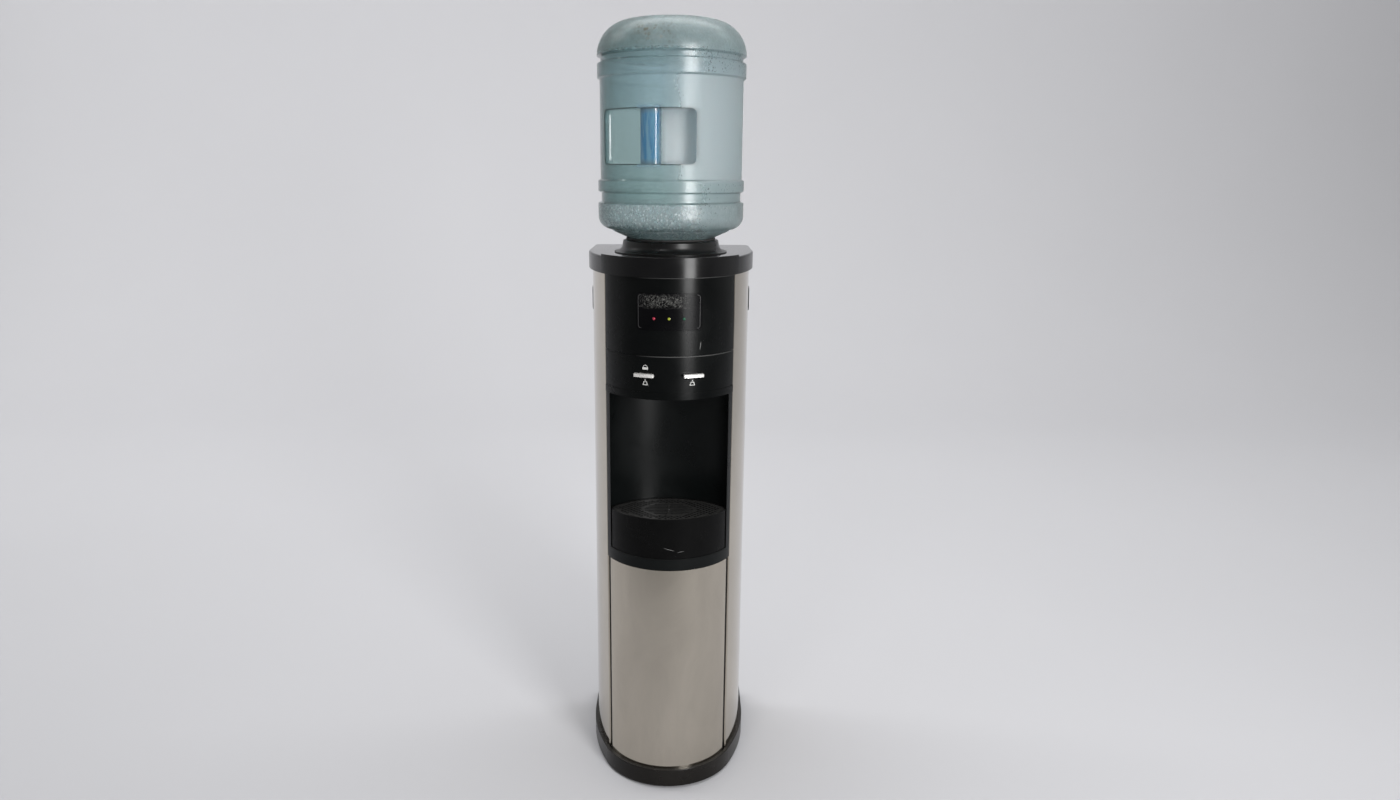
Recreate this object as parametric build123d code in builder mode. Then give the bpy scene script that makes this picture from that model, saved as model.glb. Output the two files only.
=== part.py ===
from build123d import *
import os
from math import asin, atan, cos, degrees, hypot, pi, radians, sin, sqrt, tan

# Floor-standing hot and cold water dispenser with an inverted bottle on top.
# Millimetres. The front faces -Y, +Z is up, and the origin is on the floor under the middle.

os.makedirs("parts", exist_ok=True)

# Fits
GAP = 0.3  # clearance between pieces that sit together
PIN_SLIP = 0.05  # radial clearance of a pin in its bore
REVEAL = 0.6  # open seam between neighbouring panels

# Cabinet plan
HALF_WIDTH = 152.0  # middle to the outer face of a side panel
NOSE_RADIUS = 130.0  # curve of the front
NOSE_ANGLE = 64.6  # from the middle of the front to the edge of a side panel
CABINET_FRONT = 171.0  # origin to the front of the nose
CABINET_BACK = 150.0  # origin to the outer face of the back flanges
OVERHANG = 7.0  # lid and plinth beyond the steel
REAR_OVERHANG = 29.7  # lid and plinth beyond the back flanges
CORNER = 16.0  # rounded back corners of the lid and plinth
SHEET = 1.0  # steel sheet
WALL = 3.0  # moulded walls
FOLD = 3.0  # outer radius of a fold in the sheet
HEM = 9.0  # folded front edges of the steel panels
BACK_FLANGE = 14.0
SEAM = 10.5  # black seam beside the lower front panel
SEAM_DEPTH = 3.5

# Heights, from the floor up
FOOT_HEIGHT = 5.0
PLINTH_HEIGHT = 35.0
PLINTH_RIM = 6.0  # how far the panels stand down inside the plinth
LOWER_PANEL_HEIGHT = 417.0  # shows above the plinth
SHELF_HEIGHT = 22.0  # lip under the drip tray
TRAY_HEIGHT = 78.0
OPENING_HEIGHT = 227.0  # tray rim to the bottom of the tap fascia
TAP_FASCIA_HEIGHT = 79.0
DISPLAY_FASCIA_HEIGHT = 138.0
LID_HEIGHT = 31.0
SPILL_LIP_HEIGHT = 3.5

# Alcove
CHEEK = 7.0  # side walls of the alcove, seen from the front
NICHE_DEPTH = 127.0  # nose to the middle of the concave back wall
CEILING_RISE = 14.0  # ceiling above the bottom of the tap fascia

# Taps
TAP_X = 42.0  # each tap from the middle
VALVE_SETBACK = 47.0  # nose to the valve axis
FORK_REACH = 17.0  # lever pivot to the valve axis
LEVER_RISE = 45.0  # lever above the bottom of the tap fascia
LEVER_WIDTH = 38.0
LEVER_THICKNESS = 5.6
LEVER_REACH = 11.5  # tab beyond the fascia
LEVER_STAND_OFF = 3.5  # tab's back above the fascia
LEVER_STEM_WIDTH = 22.0
LEVER_STEM_THICKNESS = 4.0
LEVER_PRESS = 12.0  # degrees
PIN_RADIUS = 2.0
VALVE_RADIUS = 12.0
NOZZLE_RADIUS = 7.0
NOZZLE_BORE = 3.5
NOZZLE_DROP = 21.0  # nozzle below the ceiling
STEM_RADIUS = 3.0
SPRING_WIRE = 0.45
SPRING_TURNS = 5
BRACKET_PLATE = 3.0

# Display
WINDOW_WIDTH = 116.0
WINDOW_HEIGHT = 66.0
WINDOW_RISE = 45.5  # window above the bottom of the display fascia
WINDOW_RECESS = 1.5
LAMP_SPACING = 26.6
LAMP_RADIUS = 2.5
LAMP_RISE = 21.0  # lamps above the bottom of the window
BOARD_SETBACK = 20.0  # nose to the front of the board
BOARD_THICKNESS = 1.6

# Bottle and its seat
COLLAR_HEIGHT = 22.7  # above the lid
COLLAR_FOOT_RADIUS = 106.0
COLLAR_NECK_RADIUS = 91.0
COLLAR_RIM_RADIUS = 89.5
WELL_RADIUS = 36.0
WELL_DEPTH = 70.0  # below the lid
SEAL_RADIUS = 2.2
SEAL_RING = 82.0
SPIKE_RADIUS = 9.5
BOTTLE_RADIUS = 131.0
RIDGE = 4.5  # ridges beyond the body
GROOVE = 1.5  # grooves below the body
BOTTLE_HEIGHT = 366.0  # shoulder step to the bottle's base
BASE_ROUND = 60.0
BASE_DISH = 10.0
SHOULDER_ROUND = 24.0
SHOULDER_SLOPE = 24.0  # degrees
STEP = 2.2
NECK_RADIUS = 27.5
NECK_LENGTH = 46.0
BOTTLE_WALL = 1.6
LOWER_RIDGE = 69.0  # lower ridge above the shoulder step
UPPER_RIDGE = 98.0  # underside of the upper ridge below the bottle's base
RIDGE_HEIGHT = 24.0
LOWER_RIDGE_HEIGHT = 19.0
RIDGE_SLOPE = 3.0
HANDLE_TURN = -17.0  # degrees about +Z, towards -X
POCKET_RISE = 117.0  # pocket above the shoulder step
POCKET_HEIGHT = 93.0
POCKET_WIDTH = 177.0
POCKET_SHIFT = 9.5  # middle of the pocket beside the handle, towards -X
POCKET_DEPTH = 56.0
POCKET_ROUND = 18.0
GRIP_BAR_WIDTH = 37.0
GRIP_BAR_DEPTH = 26.0
CAP_WALL = 2.2
CAP_HEIGHT = 26.0

# Carry grips
GRIP_SETBACK = 55.0  # grip's middle to the outer face of the back flanges
GRIP_DROP = 64.0  # grip's middle below the bottom of the lid
GRIP_LENGTH = 84.0
GRIP_HEIGHT = 36.0
GRIP_DEPTH = 27.0
GRIP_FLANGE = 6.0
GRIP_PROUD = 2.0

# Tanks
COLD_TANK_RADIUS = 64.0
COLD_TANK_HEIGHT = 160.0
TANK_WALL = 1.0
COIL_RADIUS = 2.8
COIL_TURNS = 7
COIL_PITCH = 16.0
FOAM = 14.0
SHELF_SHEET = 1.5
HOT_TANK_RADIUS = 50.0
HOT_TANK_HEIGHT = 140.0
HOT_TANK_DROP = 60.0  # top of the hot tank below the tank shelf
HOSE_RADIUS = 5.0
HOSE_BORE = 3.2
HOSE_BEND = 18.0
CABLE_INSET = 38.0  # hose and line runs beside the tanks, from a side panel's face

# Refrigeration
COMPRESSOR_RADIUS = 70.0
COMPRESSOR_HEIGHT = 165.0
COMPRESSOR_Y = 45.0
GROMMET_HEIGHT = 11.0
LINE_RADIUS = 3.0
LINE_BEND = 15.0
CONDENSER_RUNS = 10
CONDENSER_PITCH = 58.0
CONDENSER_HALF = 100.0
CONDENSER_TUBE = 2.5
CONDENSER_BOTTOM = 215.0
CONDENSER_STAND_OFF = 13.0  # behind the back panel
WIRE_RADIUS = 0.8
WIRE_COUNT = 15
WIRE_SPACING = 12.0
DRIER_RADIUS = 9.0
DRIER_LENGTH = 80.0

# Back fittings
SWITCH_INSET = 77.0  # from a side panel's face
SWITCH_Z = 900.0
ROCKER_WIDTH = 14.0
ROCKER_HEIGHT = 20.6
ROCKER_TILT = 7.0
DRAIN_INSET = 44.0  # from a side panel's face
DRAIN_Z = 125.0
GLAND_INSET = 44.0  # from a side panel's face
GLAND_Z = 100.0

# Worked out from the values above
NOSE_Y = NOSE_RADIUS - CABINET_FRONT
NOSE_SINE = sin(radians(NOSE_ANGLE))
FLANK_RADIUS = (HALF_WIDTH - NOSE_RADIUS * NOSE_SINE) / (1 - NOSE_SINE)
FLANK_X = HALF_WIDTH - FLANK_RADIUS
FLANK_Y = NOSE_Y + (FLANK_RADIUS - NOSE_RADIUS) * cos(radians(NOSE_ANGLE))
LID_BACK = CABINET_BACK + REAR_OVERHANG
FASCIA_ANGLE = NOSE_ANGLE - degrees(REVEAL / NOSE_RADIUS)
PANEL_ANGLE = NOSE_ANGLE - degrees(SEAM / NOSE_RADIUS)

PLINTH_TOP = FOOT_HEIGHT + PLINTH_HEIGHT
PANEL_FOOT = PLINTH_TOP - PLINTH_RIM
PLINTH_FLOOR = FOOT_HEIGHT + WALL
SHELF_BOTTOM = PLINTH_TOP + LOWER_PANEL_HEIGHT + REVEAL
SHELF_TOP = SHELF_BOTTOM + SHELF_HEIGHT
TRAY_TOP = SHELF_TOP + TRAY_HEIGHT
OPENING_TOP = TRAY_TOP + OPENING_HEIGHT
CEILING = OPENING_TOP + CEILING_RISE
CEILING_TOP = CEILING + WALL
TAP_FASCIA_TOP = OPENING_TOP + TAP_FASCIA_HEIGHT
DISPLAY_BOTTOM = TAP_FASCIA_TOP + REVEAL
DISPLAY_TOP = DISPLAY_BOTTOM + DISPLAY_FASCIA_HEIGHT
LID_BOTTOM = DISPLAY_TOP + REVEAL
LID_TOP = LID_BOTTOM + LID_HEIGHT
PANEL_TOP = LID_TOP - WALL - GAP
COLLAR_TOP = LID_TOP + COLLAR_HEIGHT

FASCIA_TIP_X = NOSE_RADIUS * sin(radians(FASCIA_ANGLE))
FASCIA_TIP_Y = NOSE_Y - NOSE_RADIUS * cos(radians(FASCIA_ANGLE))
NICHE_HALF = FASCIA_TIP_X - CHEEK
NICHE_TIP_Y = FASCIA_TIP_Y + 2 * GAP
NICHE_BACK = NICHE_DEPTH - CABINET_FRONT
VALVE_Y = VALVE_SETBACK - CABINET_FRONT
PIVOT_Y = VALVE_Y - FORK_REACH
PIVOT_Z = OPENING_TOP + LEVER_RISE
BACK_FACE = CABINET_BACK - SHEET  # outer face of the back panel
GRIP_Y = CABINET_BACK - GRIP_SETBACK
CABLE_SIDE_X = HALF_WIDTH - CABLE_INSET
SWITCH_X = HALF_WIDTH - SWITCH_INSET
DRAIN_X = DRAIN_INSET - HALF_WIDTH
GLAND_X = HALF_WIDTH - GLAND_INSET


def nose_point(radius, angle):
    """Point on a circle about the nose's centre, at an angle in degrees from the middle of the front."""
    return (radius * sin(radians(angle)), NOSE_Y - radius * cos(radians(angle)))


def nose_depth(x, radius):
    """Y of a circle about the nose's centre at a given X."""
    return NOSE_Y - sqrt(radius**2 - x**2)


def nose_band(inner, outer, start, end):
    """Plan of a curved strip of the front between two radii and two angles."""
    with BuildSketch() as band:
        with BuildLine():
            CenterArc((0, NOSE_Y), outer, 270 + start, end - start)
            CenterArc((0, NOSE_Y), inner, 270 + start, end - start)
            Line(nose_point(inner, start), nose_point(outer, start))
            Line(nose_point(inner, end), nose_point(outer, end))
        make_face()
    return band.sketch


def cabinet_plan(grow, back, corner):
    """Plan of the cabinet grown outwards: nose, curved flanks, straight sides and a flat back."""
    half = HALF_WIDTH + grow
    flank = FLANK_RADIUS + grow
    with BuildSketch() as plan:
        with BuildLine():
            CenterArc((0, NOSE_Y), NOSE_RADIUS + grow, 270 - NOSE_ANGLE, 2 * NOSE_ANGLE)
            CenterArc((FLANK_X, FLANK_Y), flank, 270 + NOSE_ANGLE, 90 - NOSE_ANGLE)
            CenterArc((-FLANK_X, FLANK_Y), flank, 180, 90 - NOSE_ANGLE)
            Line((half, FLANK_Y), (half, back - corner))
            Line((-half, FLANK_Y), (-half, back - corner))
            CenterArc((half - corner, back - corner), corner, 0, 90)
            CenterArc((corner - half, back - corner), corner, 90, 90)
            Line((half - corner, back), (corner - half, back))
        make_face()
    return plan.sketch


def niche_plan(inset, front_radius):
    """Plan of the alcove: concave back wall, straight cheeks and a front that follows the nose."""
    half = NICHE_HALF - inset
    front = nose_depth(half, front_radius)
    with BuildSketch() as plan:
        with BuildLine():
            ThreePointArc((-half, NICHE_TIP_Y), (0, NICHE_BACK - inset), (half, NICHE_TIP_Y))
            ThreePointArc((-half, front), (0, NOSE_Y - front_radius), (half, front))
            Line((-half, NICHE_TIP_Y), (-half, front))
            Line((half, NICHE_TIP_Y), (half, front))
        make_face()
    return plan.sketch


def tube(points, radius, bore, bend):
    """A round tube along straight runs joined by bends."""
    with BuildPart() as pipe:
        with BuildLine() as run:
            FilletPolyline(*points, radius=bend)
        with BuildSketch(Plane(origin=run.line @ 0, z_dir=run.line % 0)):
            Circle(radius)
            if bore > 0:
                Circle(bore, mode=Mode.SUBTRACT)
        sweep()
    return pipe.part


def winding(centre, radius, base, pitch, turns, wire):
    """A wire wound round a vertical axis, each quarter turn drawn as two tangent arcs."""
    lead = pitch / (2 * pi)
    quarters = int(4 * turns)

    def place(angle):
        return Vector(centre[0] + radius * cos(angle), centre[1] + radius * sin(angle), base + lead * angle)

    def heading(angle):
        return Vector(-radius * sin(angle), radius * cos(angle), lead).normalized()

    with BuildPart() as coil:
        with BuildLine() as path:
            for quarter in range(quarters):
                start = place(quarter * pi / 2)
                end = place((quarter + 1) * pi / 2)
                leave = heading(quarter * pi / 2)
                arrive = heading((quarter + 1) * pi / 2)
                chord = end - start
                both = leave + arrive
                spread = 2 * (1 - leave.dot(arrive))
                reach = (sqrt(chord.dot(both) ** 2 + spread * chord.dot(chord)) - chord.dot(both)) / spread
                joint = (start + end + (leave - arrive) * reach) * 0.5
                middle = (end - arrive * reach) - (start + leave * reach)
                TangentArc(start, joint, tangent=leave)
                TangentArc(joint, end, tangent=middle.normalized())
        with BuildSketch(Plane(origin=path.line @ 0, z_dir=path.line % 0)):
            Circle(wire)
        sweep()
    return coil.part


# Base plinth: a shallow tray with a rim that the steel panels stand in
FRONT_FOOT_X = HALF_WIDTH - 82.0
FRONT_FOOT_Y = 81.0 - CABINET_FRONT
BACK_FOOT_X = HALF_WIDTH - 40.0
BACK_FOOT_Y = CABINET_BACK - 20.0
FOOT_PLACES = [
    (-FRONT_FOOT_X, FRONT_FOOT_Y),
    (FRONT_FOOT_X, FRONT_FOOT_Y),
    (-BACK_FOOT_X, BACK_FOOT_Y),
    (BACK_FOOT_X, BACK_FOOT_Y),
]
FOOT_RADIUS = 17.0
LEDGE = 10.0
RIM_ROUND = 1.6
with BuildPart() as base_plinth:
    with BuildSketch(Plane.XY.offset(FOOT_HEIGHT)):
        add(cabinet_plan(OVERHANG, LID_BACK, CORNER))
    extrude(amount=PLINTH_HEIGHT)
    fillet(base_plinth.faces().sort_by(Axis.Z)[-1].edges(), RIM_ROUND)
    with BuildSketch(Plane.XY.offset(PANEL_FOOT)):
        add(cabinet_plan(GAP, CABINET_BACK + GAP, FOLD))
    extrude(amount=PLINTH_RIM, mode=Mode.SUBTRACT)
    with BuildSketch(Plane.XY.offset(PLINTH_FLOOR)):
        add(cabinet_plan(-LEDGE, CABINET_BACK - LEDGE, FOLD))
    extrude(amount=PANEL_FOOT - PLINTH_FLOOR, mode=Mode.SUBTRACT)
    with BuildSketch(Plane.XY.offset(FOOT_HEIGHT)):
        with GridLocations(30, 16, 4, 5):
            SlotOverall(24, 7)
    extrude(amount=WALL, mode=Mode.SUBTRACT)
base_plinth.part.label = "base_plinth"

# Rubber feet under the plinth
FOOT_TAPER = 2.0
with BuildPart() as feet:
    with Locations(*[(x, y, FOOT_HEIGHT / 2) for x, y in FOOT_PLACES]):
        Cone(FOOT_RADIUS - FOOT_TAPER, FOOT_RADIUS, FOOT_HEIGHT)
feet.part.label = "feet"

# Steel base plate that carries the compressor
PLATE = 1.5
PLATE_TOP = PLINTH_FLOOR + PLATE
MOUNT_X = 62.0
MOUNT_Y = 50.0
GROMMET_BORE = 4.0
with BuildPart() as base_plate:
    with BuildSketch(Plane.XY.offset(PLINTH_FLOOR)):
        add(cabinet_plan(-LEDGE - 2 * GAP, CABINET_BACK - LEDGE - 2 * GAP, FOLD))
        with Locations((0, COMPRESSOR_Y)):
            with GridLocations(2 * MOUNT_X, 2 * MOUNT_Y, 2, 2):
                Circle(GROMMET_BORE, mode=Mode.SUBTRACT)
    extrude(amount=PLATE)
base_plate.part.label = "base_plate"

# Side panels: folded front edge, curved flank, straight side and back flange.
# Beside the alcove the fold is cut short, so that the liner tucks in behind it.
GRIP_Z = LID_BOTTOM - GRIP_DROP
CUT_MARGIN = 2.4
with BuildPart() as side_panel_right:
    with BuildSketch(Plane.XY.offset(PANEL_FOOT)):
        with BuildLine() as side_line:
            Line(nose_point(NOSE_RADIUS - HEM, NOSE_ANGLE), nose_point(NOSE_RADIUS, NOSE_ANGLE))
            CenterArc((FLANK_X, FLANK_Y), FLANK_RADIUS, 270 + NOSE_ANGLE, 90 - NOSE_ANGLE)
            Line((HALF_WIDTH, FLANK_Y), (HALF_WIDTH, CABINET_BACK))
            Line((HALF_WIDTH, CABINET_BACK), (HALF_WIDTH - BACK_FLANGE, CABINET_BACK))
            front_corner = side_line.vertices().sort_by_distance((*nose_point(NOSE_RADIUS, NOSE_ANGLE), 0))[0]
            back_corner = side_line.vertices().sort_by_distance((HALF_WIDTH, CABINET_BACK, 0))[0]
            fillet([front_corner, back_corner], FOLD)
            offset(amount=SHEET, side=Side.LEFT)
        make_face()
    extrude(amount=PANEL_TOP - PANEL_FOOT)
    with BuildSketch(Plane.YZ.offset(HALF_WIDTH - FOLD)):
        with Locations((GRIP_Y, GRIP_Z)):
            RectangleRounded(GRIP_LENGTH + 2 * CUT_MARGIN, GRIP_HEIGHT + 2 * CUT_MARGIN, FOLD)
    extrude(amount=2 * FOLD, mode=Mode.SUBTRACT)
    with BuildSketch(Plane.XY.offset(SHELF_BOTTOM - REVEAL)):
        add(nose_band(NOSE_RADIUS - 2 * HEM, NOSE_RADIUS - FOLD, NOSE_ANGLE - 10, NOSE_ANGLE + 10))
    extrude(amount=PANEL_TOP - SHELF_BOTTOM + REVEAL, mode=Mode.SUBTRACT)
side_panel_right.part.label = "side_panel_right"

with BuildPart() as side_panel_left:
    mirror(side_panel_right.part, about=Plane.YZ)
side_panel_left.part.label = "side_panel_left"

# Carry grips: moulded cups set into the side panels
GRIP_WALL = 2.0
with BuildPart() as carry_grip_right:
    with BuildSketch(Plane.YZ.offset(HALF_WIDTH)):
        with Locations((GRIP_Y, GRIP_Z)):
            RectangleRounded(GRIP_LENGTH + 2 * GRIP_FLANGE, GRIP_HEIGHT + 2 * GRIP_FLANGE, GRIP_FLANGE + FOLD)
    extrude(amount=GRIP_PROUD)
    fillet(carry_grip_right.faces().sort_by(Axis.X)[-1].edges(), GRIP_PROUD - 2 * GAP)
    with BuildSketch(Plane.YZ.offset(HALF_WIDTH - GRIP_DEPTH)):
        with Locations((GRIP_Y, GRIP_Z)):
            RectangleRounded(GRIP_LENGTH + 2 * GRIP_WALL, GRIP_HEIGHT + 2 * GRIP_WALL, FOLD)
    extrude(amount=GRIP_DEPTH)
    with BuildSketch(Plane.YZ.offset(HALF_WIDTH - GRIP_DEPTH + GRIP_WALL)):
        with Locations((GRIP_Y, GRIP_Z)):
            RectangleRounded(GRIP_LENGTH, GRIP_HEIGHT, FOLD)
    extrude(amount=GRIP_DEPTH + GRIP_PROUD, mode=Mode.SUBTRACT)
carry_grip_right.part.label = "carry_grip_right"

with BuildPart() as carry_grip_left:
    mirror(carry_grip_right.part, about=Plane.YZ)
carry_grip_left.part.label = "carry_grip_left"

# Lower front panel: curved steel sheet with folded side edges
with BuildPart() as lower_front_panel:
    with BuildSketch(Plane.XY.offset(PANEL_FOOT)):
        with BuildLine() as front_line:
            Line(nose_point(NOSE_RADIUS - HEM, -PANEL_ANGLE), nose_point(NOSE_RADIUS, -PANEL_ANGLE))
            CenterArc((0, NOSE_Y), NOSE_RADIUS, 270 - PANEL_ANGLE, 2 * PANEL_ANGLE)
            Line(nose_point(NOSE_RADIUS, PANEL_ANGLE), nose_point(NOSE_RADIUS - HEM, PANEL_ANGLE))
            left_edge = front_line.vertices().sort_by_distance((*nose_point(NOSE_RADIUS, -PANEL_ANGLE), 0))[0]
            right_edge = front_line.vertices().sort_by_distance((*nose_point(NOSE_RADIUS, PANEL_ANGLE), 0))[0]
            fillet([left_edge, right_edge], FOLD)
            offset(amount=SHEET, side=Side.LEFT)
        make_face()
    extrude(amount=PLINTH_RIM + LOWER_PANEL_HEIGHT)
lower_front_panel.part.label = "lower_front_panel"

# Edge trims: black strips behind the seams beside the lower front panel
TRIM_FLANGE = 2.5
TRIM_SPREAD = 18.0
TRIM_ANGLE = (PANEL_ANGLE + NOSE_ANGLE) / 2
TRIM_BASE = NOSE_RADIUS - HEM - GAP
TRIM_STEM = HEM + GAP - SEAM_DEPTH
with BuildPart() as edge_trims:
    with BuildSketch(Plane.XY.offset(PANEL_FOOT)):
        for side in (-1, 1):
            with Locations(Location(nose_point(TRIM_BASE - TRIM_FLANGE / 2, side * TRIM_ANGLE), side * TRIM_ANGLE)):
                Rectangle(TRIM_SPREAD, TRIM_FLANGE)
            with Locations(Location(nose_point(TRIM_BASE + TRIM_STEM / 2, side * TRIM_ANGLE), side * TRIM_ANGLE)):
                Rectangle(SEAM - 4 * GAP, TRIM_STEM)
    extrude(amount=SHELF_BOTTOM - GAP - PANEL_FOOT)
edge_trims.part.label = "edge_trims"

# Alcove liner: cheeks, concave back wall, ceiling and the shelf under the drip tray
NOZZLE_HOLE = NOZZLE_RADIUS + GAP
LINER_X, LINER_Y = nose_point(NOSE_RADIUS - FOLD - GAP, FASCIA_ANGLE)
with BuildPart() as alcove_liner:
    with BuildSketch(Plane.XY.offset(SHELF_BOTTOM)):
        with BuildLine():
            ThreePointArc((-FASCIA_TIP_X, FASCIA_TIP_Y), (0, -CABINET_FRONT), (FASCIA_TIP_X, FASCIA_TIP_Y))
            ThreePointArc((-LINER_X, LINER_Y), (0, NICHE_BACK + WALL), (LINER_X, LINER_Y))
            Line((FASCIA_TIP_X, FASCIA_TIP_Y), (LINER_X, LINER_Y))
            Line((-FASCIA_TIP_X, FASCIA_TIP_Y), (-LINER_X, LINER_Y))
        make_face()
    extrude(amount=CEILING_TOP - SHELF_BOTTOM)
    with BuildSketch(Plane.XY.offset(SHELF_TOP)):
        add(niche_plan(0, NOSE_RADIUS + HEM))
    extrude(amount=CEILING - SHELF_TOP, mode=Mode.SUBTRACT)
    with BuildSketch(Plane.XY.offset(OPENING_TOP - REVEAL)):
        add(nose_band(NOSE_RADIUS - WALL - GAP, NOSE_RADIUS + HEM, -NOSE_ANGLE - 5, NOSE_ANGLE + 5))
    extrude(amount=CEILING_TOP - OPENING_TOP + REVEAL, mode=Mode.SUBTRACT)
    with BuildSketch(Plane.XY.offset(SHELF_BOTTOM)):
        add(niche_plan(0, NOSE_RADIUS - WALL))
    extrude(amount=SHELF_HEIGHT - WALL, mode=Mode.SUBTRACT)
    with BuildSketch(Plane.XY.offset(CEILING)):
        with Locations((-TAP_X, VALVE_Y), (TAP_X, VALVE_Y)):
            Circle(NOZZLE_HOLE)
    extrude(amount=WALL, mode=Mode.SUBTRACT)
alcove_liner.part.label = "alcove_liner"

# Drip tray: a basin that fills the bottom of the alcove, with a curved front
TRAY_WALL = 2.4
TRAY_SETBACK = 1.5  # tray's front behind the shelf's lip
TRAY_FRONT = NOSE_RADIUS - TRAY_SETBACK
TRAY_SIDE_GAP = 1.0
GRILLE_LEDGE = 2.5
GRILLE_SEAT = 5.0  # ledge below the tray's rim
BASIN_DEPTH = 42.0
RIM_CHAMFER = 0.8
with BuildPart() as drip_tray:
    with BuildSketch(Plane.XY.offset(SHELF_TOP + GAP)):
        add(niche_plan(TRAY_SIDE_GAP, TRAY_FRONT))
    extrude(amount=TRAY_HEIGHT - GAP)
    chamfer(drip_tray.faces().sort_by(Axis.Z)[-1].edges(), RIM_CHAMFER)
    with BuildSketch(Plane.XY.offset(TRAY_TOP - GRILLE_SEAT)):
        add(niche_plan(TRAY_SIDE_GAP + TRAY_WALL, TRAY_FRONT - TRAY_WALL))
    extrude(amount=GRILLE_SEAT, mode=Mode.SUBTRACT)
    with BuildSketch(Plane.XY.offset(TRAY_TOP - BASIN_DEPTH)):
        add(niche_plan(TRAY_SIDE_GAP + TRAY_WALL + GRILLE_LEDGE, TRAY_FRONT - TRAY_WALL - GRILLE_LEDGE))
    extrude(amount=BASIN_DEPTH - GRILLE_SEAT, mode=Mode.SUBTRACT)
    with BuildSketch(Plane.XY.offset(SHELF_TOP + GAP)):
        add(niche_plan(TRAY_SIDE_GAP + TRAY_WALL, TRAY_FRONT - TRAY_WALL))
    extrude(amount=TRAY_HEIGHT - GAP - BASIN_DEPTH - TRAY_WALL, mode=Mode.SUBTRACT)
drip_tray.part.label = "drip_tray"

# Drip grille: a lattice at both ends and slots round a small post in the middle oval
GRILLE_THICKNESS = 3.5
GRILLE_RIM = 4.0
LATTICE_PITCH = 11.0
LATTICE_HOLE = 5.6
OVAL_HALF_X = 46.0
OVAL_HALF_Y = 30.0
OVAL_RIM = 3.0
SLOT_PITCH = 8.0
SLOT_WIDTH = 4.5
POST_RADIUS = 4.0
POST_HEIGHT = 1.0
GRILLE_INSET = TRAY_SIDE_GAP + TRAY_WALL + 2 * GAP
GRILLE_FRONT = TRAY_FRONT - TRAY_WALL - 2 * GAP
GRILLE_BOTTOM = TRAY_TOP - GRILLE_SEAT + GAP
GRILLE_Y = (NICHE_BACK - CABINET_FRONT) / 2
NICHE_RISE = NICHE_BACK - NICHE_TIP_Y
NICHE_RADIUS = (NICHE_HALF**2 + NICHE_RISE**2) / (2 * NICHE_RISE)
LATTICE_EDGE = GRILLE_RIM + LATTICE_HOLE / sqrt(2)


def in_lattice(x, y):
    """True where a lattice hole clears the grille's rim and its middle oval."""
    in_front = hypot(x, y - NOSE_Y) < GRILLE_FRONT - LATTICE_EDGE
    in_back = hypot(x, y - NICHE_BACK + NICHE_RADIUS) < NICHE_RADIUS - GRILLE_INSET - LATTICE_EDGE
    oval_x = OVAL_HALF_X + OVAL_RIM + LATTICE_HOLE / sqrt(2)
    oval_y = OVAL_HALF_Y + OVAL_RIM + LATTICE_HOLE / sqrt(2)
    outside_oval = (x / oval_x) ** 2 + ((y - GRILLE_Y) / oval_y) ** 2 > 1
    return in_front and in_back and outside_oval


LATTICE = [
    (column * LATTICE_PITCH / 2, GRILLE_Y + row * LATTICE_PITCH / 2)
    for column in range(-20, 21)
    for row in range(-12, 13)
    if (column + row) % 2 == 0 and in_lattice(column * LATTICE_PITCH / 2, GRILLE_Y + row * LATTICE_PITCH / 2)
]
SLOT_ROWS = int((OVAL_HALF_Y - SLOT_PITCH / 2) / SLOT_PITCH)
with BuildPart() as drip_grille:
    with BuildSketch(Plane.XY.offset(GRILLE_BOTTOM)):
        add(niche_plan(GRILLE_INSET, GRILLE_FRONT))
        with Locations(*LATTICE):
            Rectangle(LATTICE_HOLE, LATTICE_HOLE, rotation=45, mode=Mode.SUBTRACT)
        for row in range(-SLOT_ROWS, SLOT_ROWS + 1):
            slot_half = OVAL_HALF_X * sqrt(1 - (row * SLOT_PITCH / OVAL_HALF_Y) ** 2)
            for side in (-1, 1):
                slot_inner = POST_RADIUS + OVAL_RIM if row == 0 else OVAL_RIM / 2
                with Locations((side * (slot_half + slot_inner) / 2, GRILLE_Y + row * SLOT_PITCH)):
                    SlotOverall(slot_half - slot_inner, SLOT_WIDTH, mode=Mode.SUBTRACT)
    extrude(amount=GRILLE_THICKNESS)
    with BuildSketch(Plane.XY.offset(GRILLE_BOTTOM + GRILLE_THICKNESS)):
        with Locations((0, GRILLE_Y)):
            Circle(POST_RADIUS)
    extrude(amount=POST_HEIGHT)
drip_grille.part.label = "drip_grille"

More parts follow.
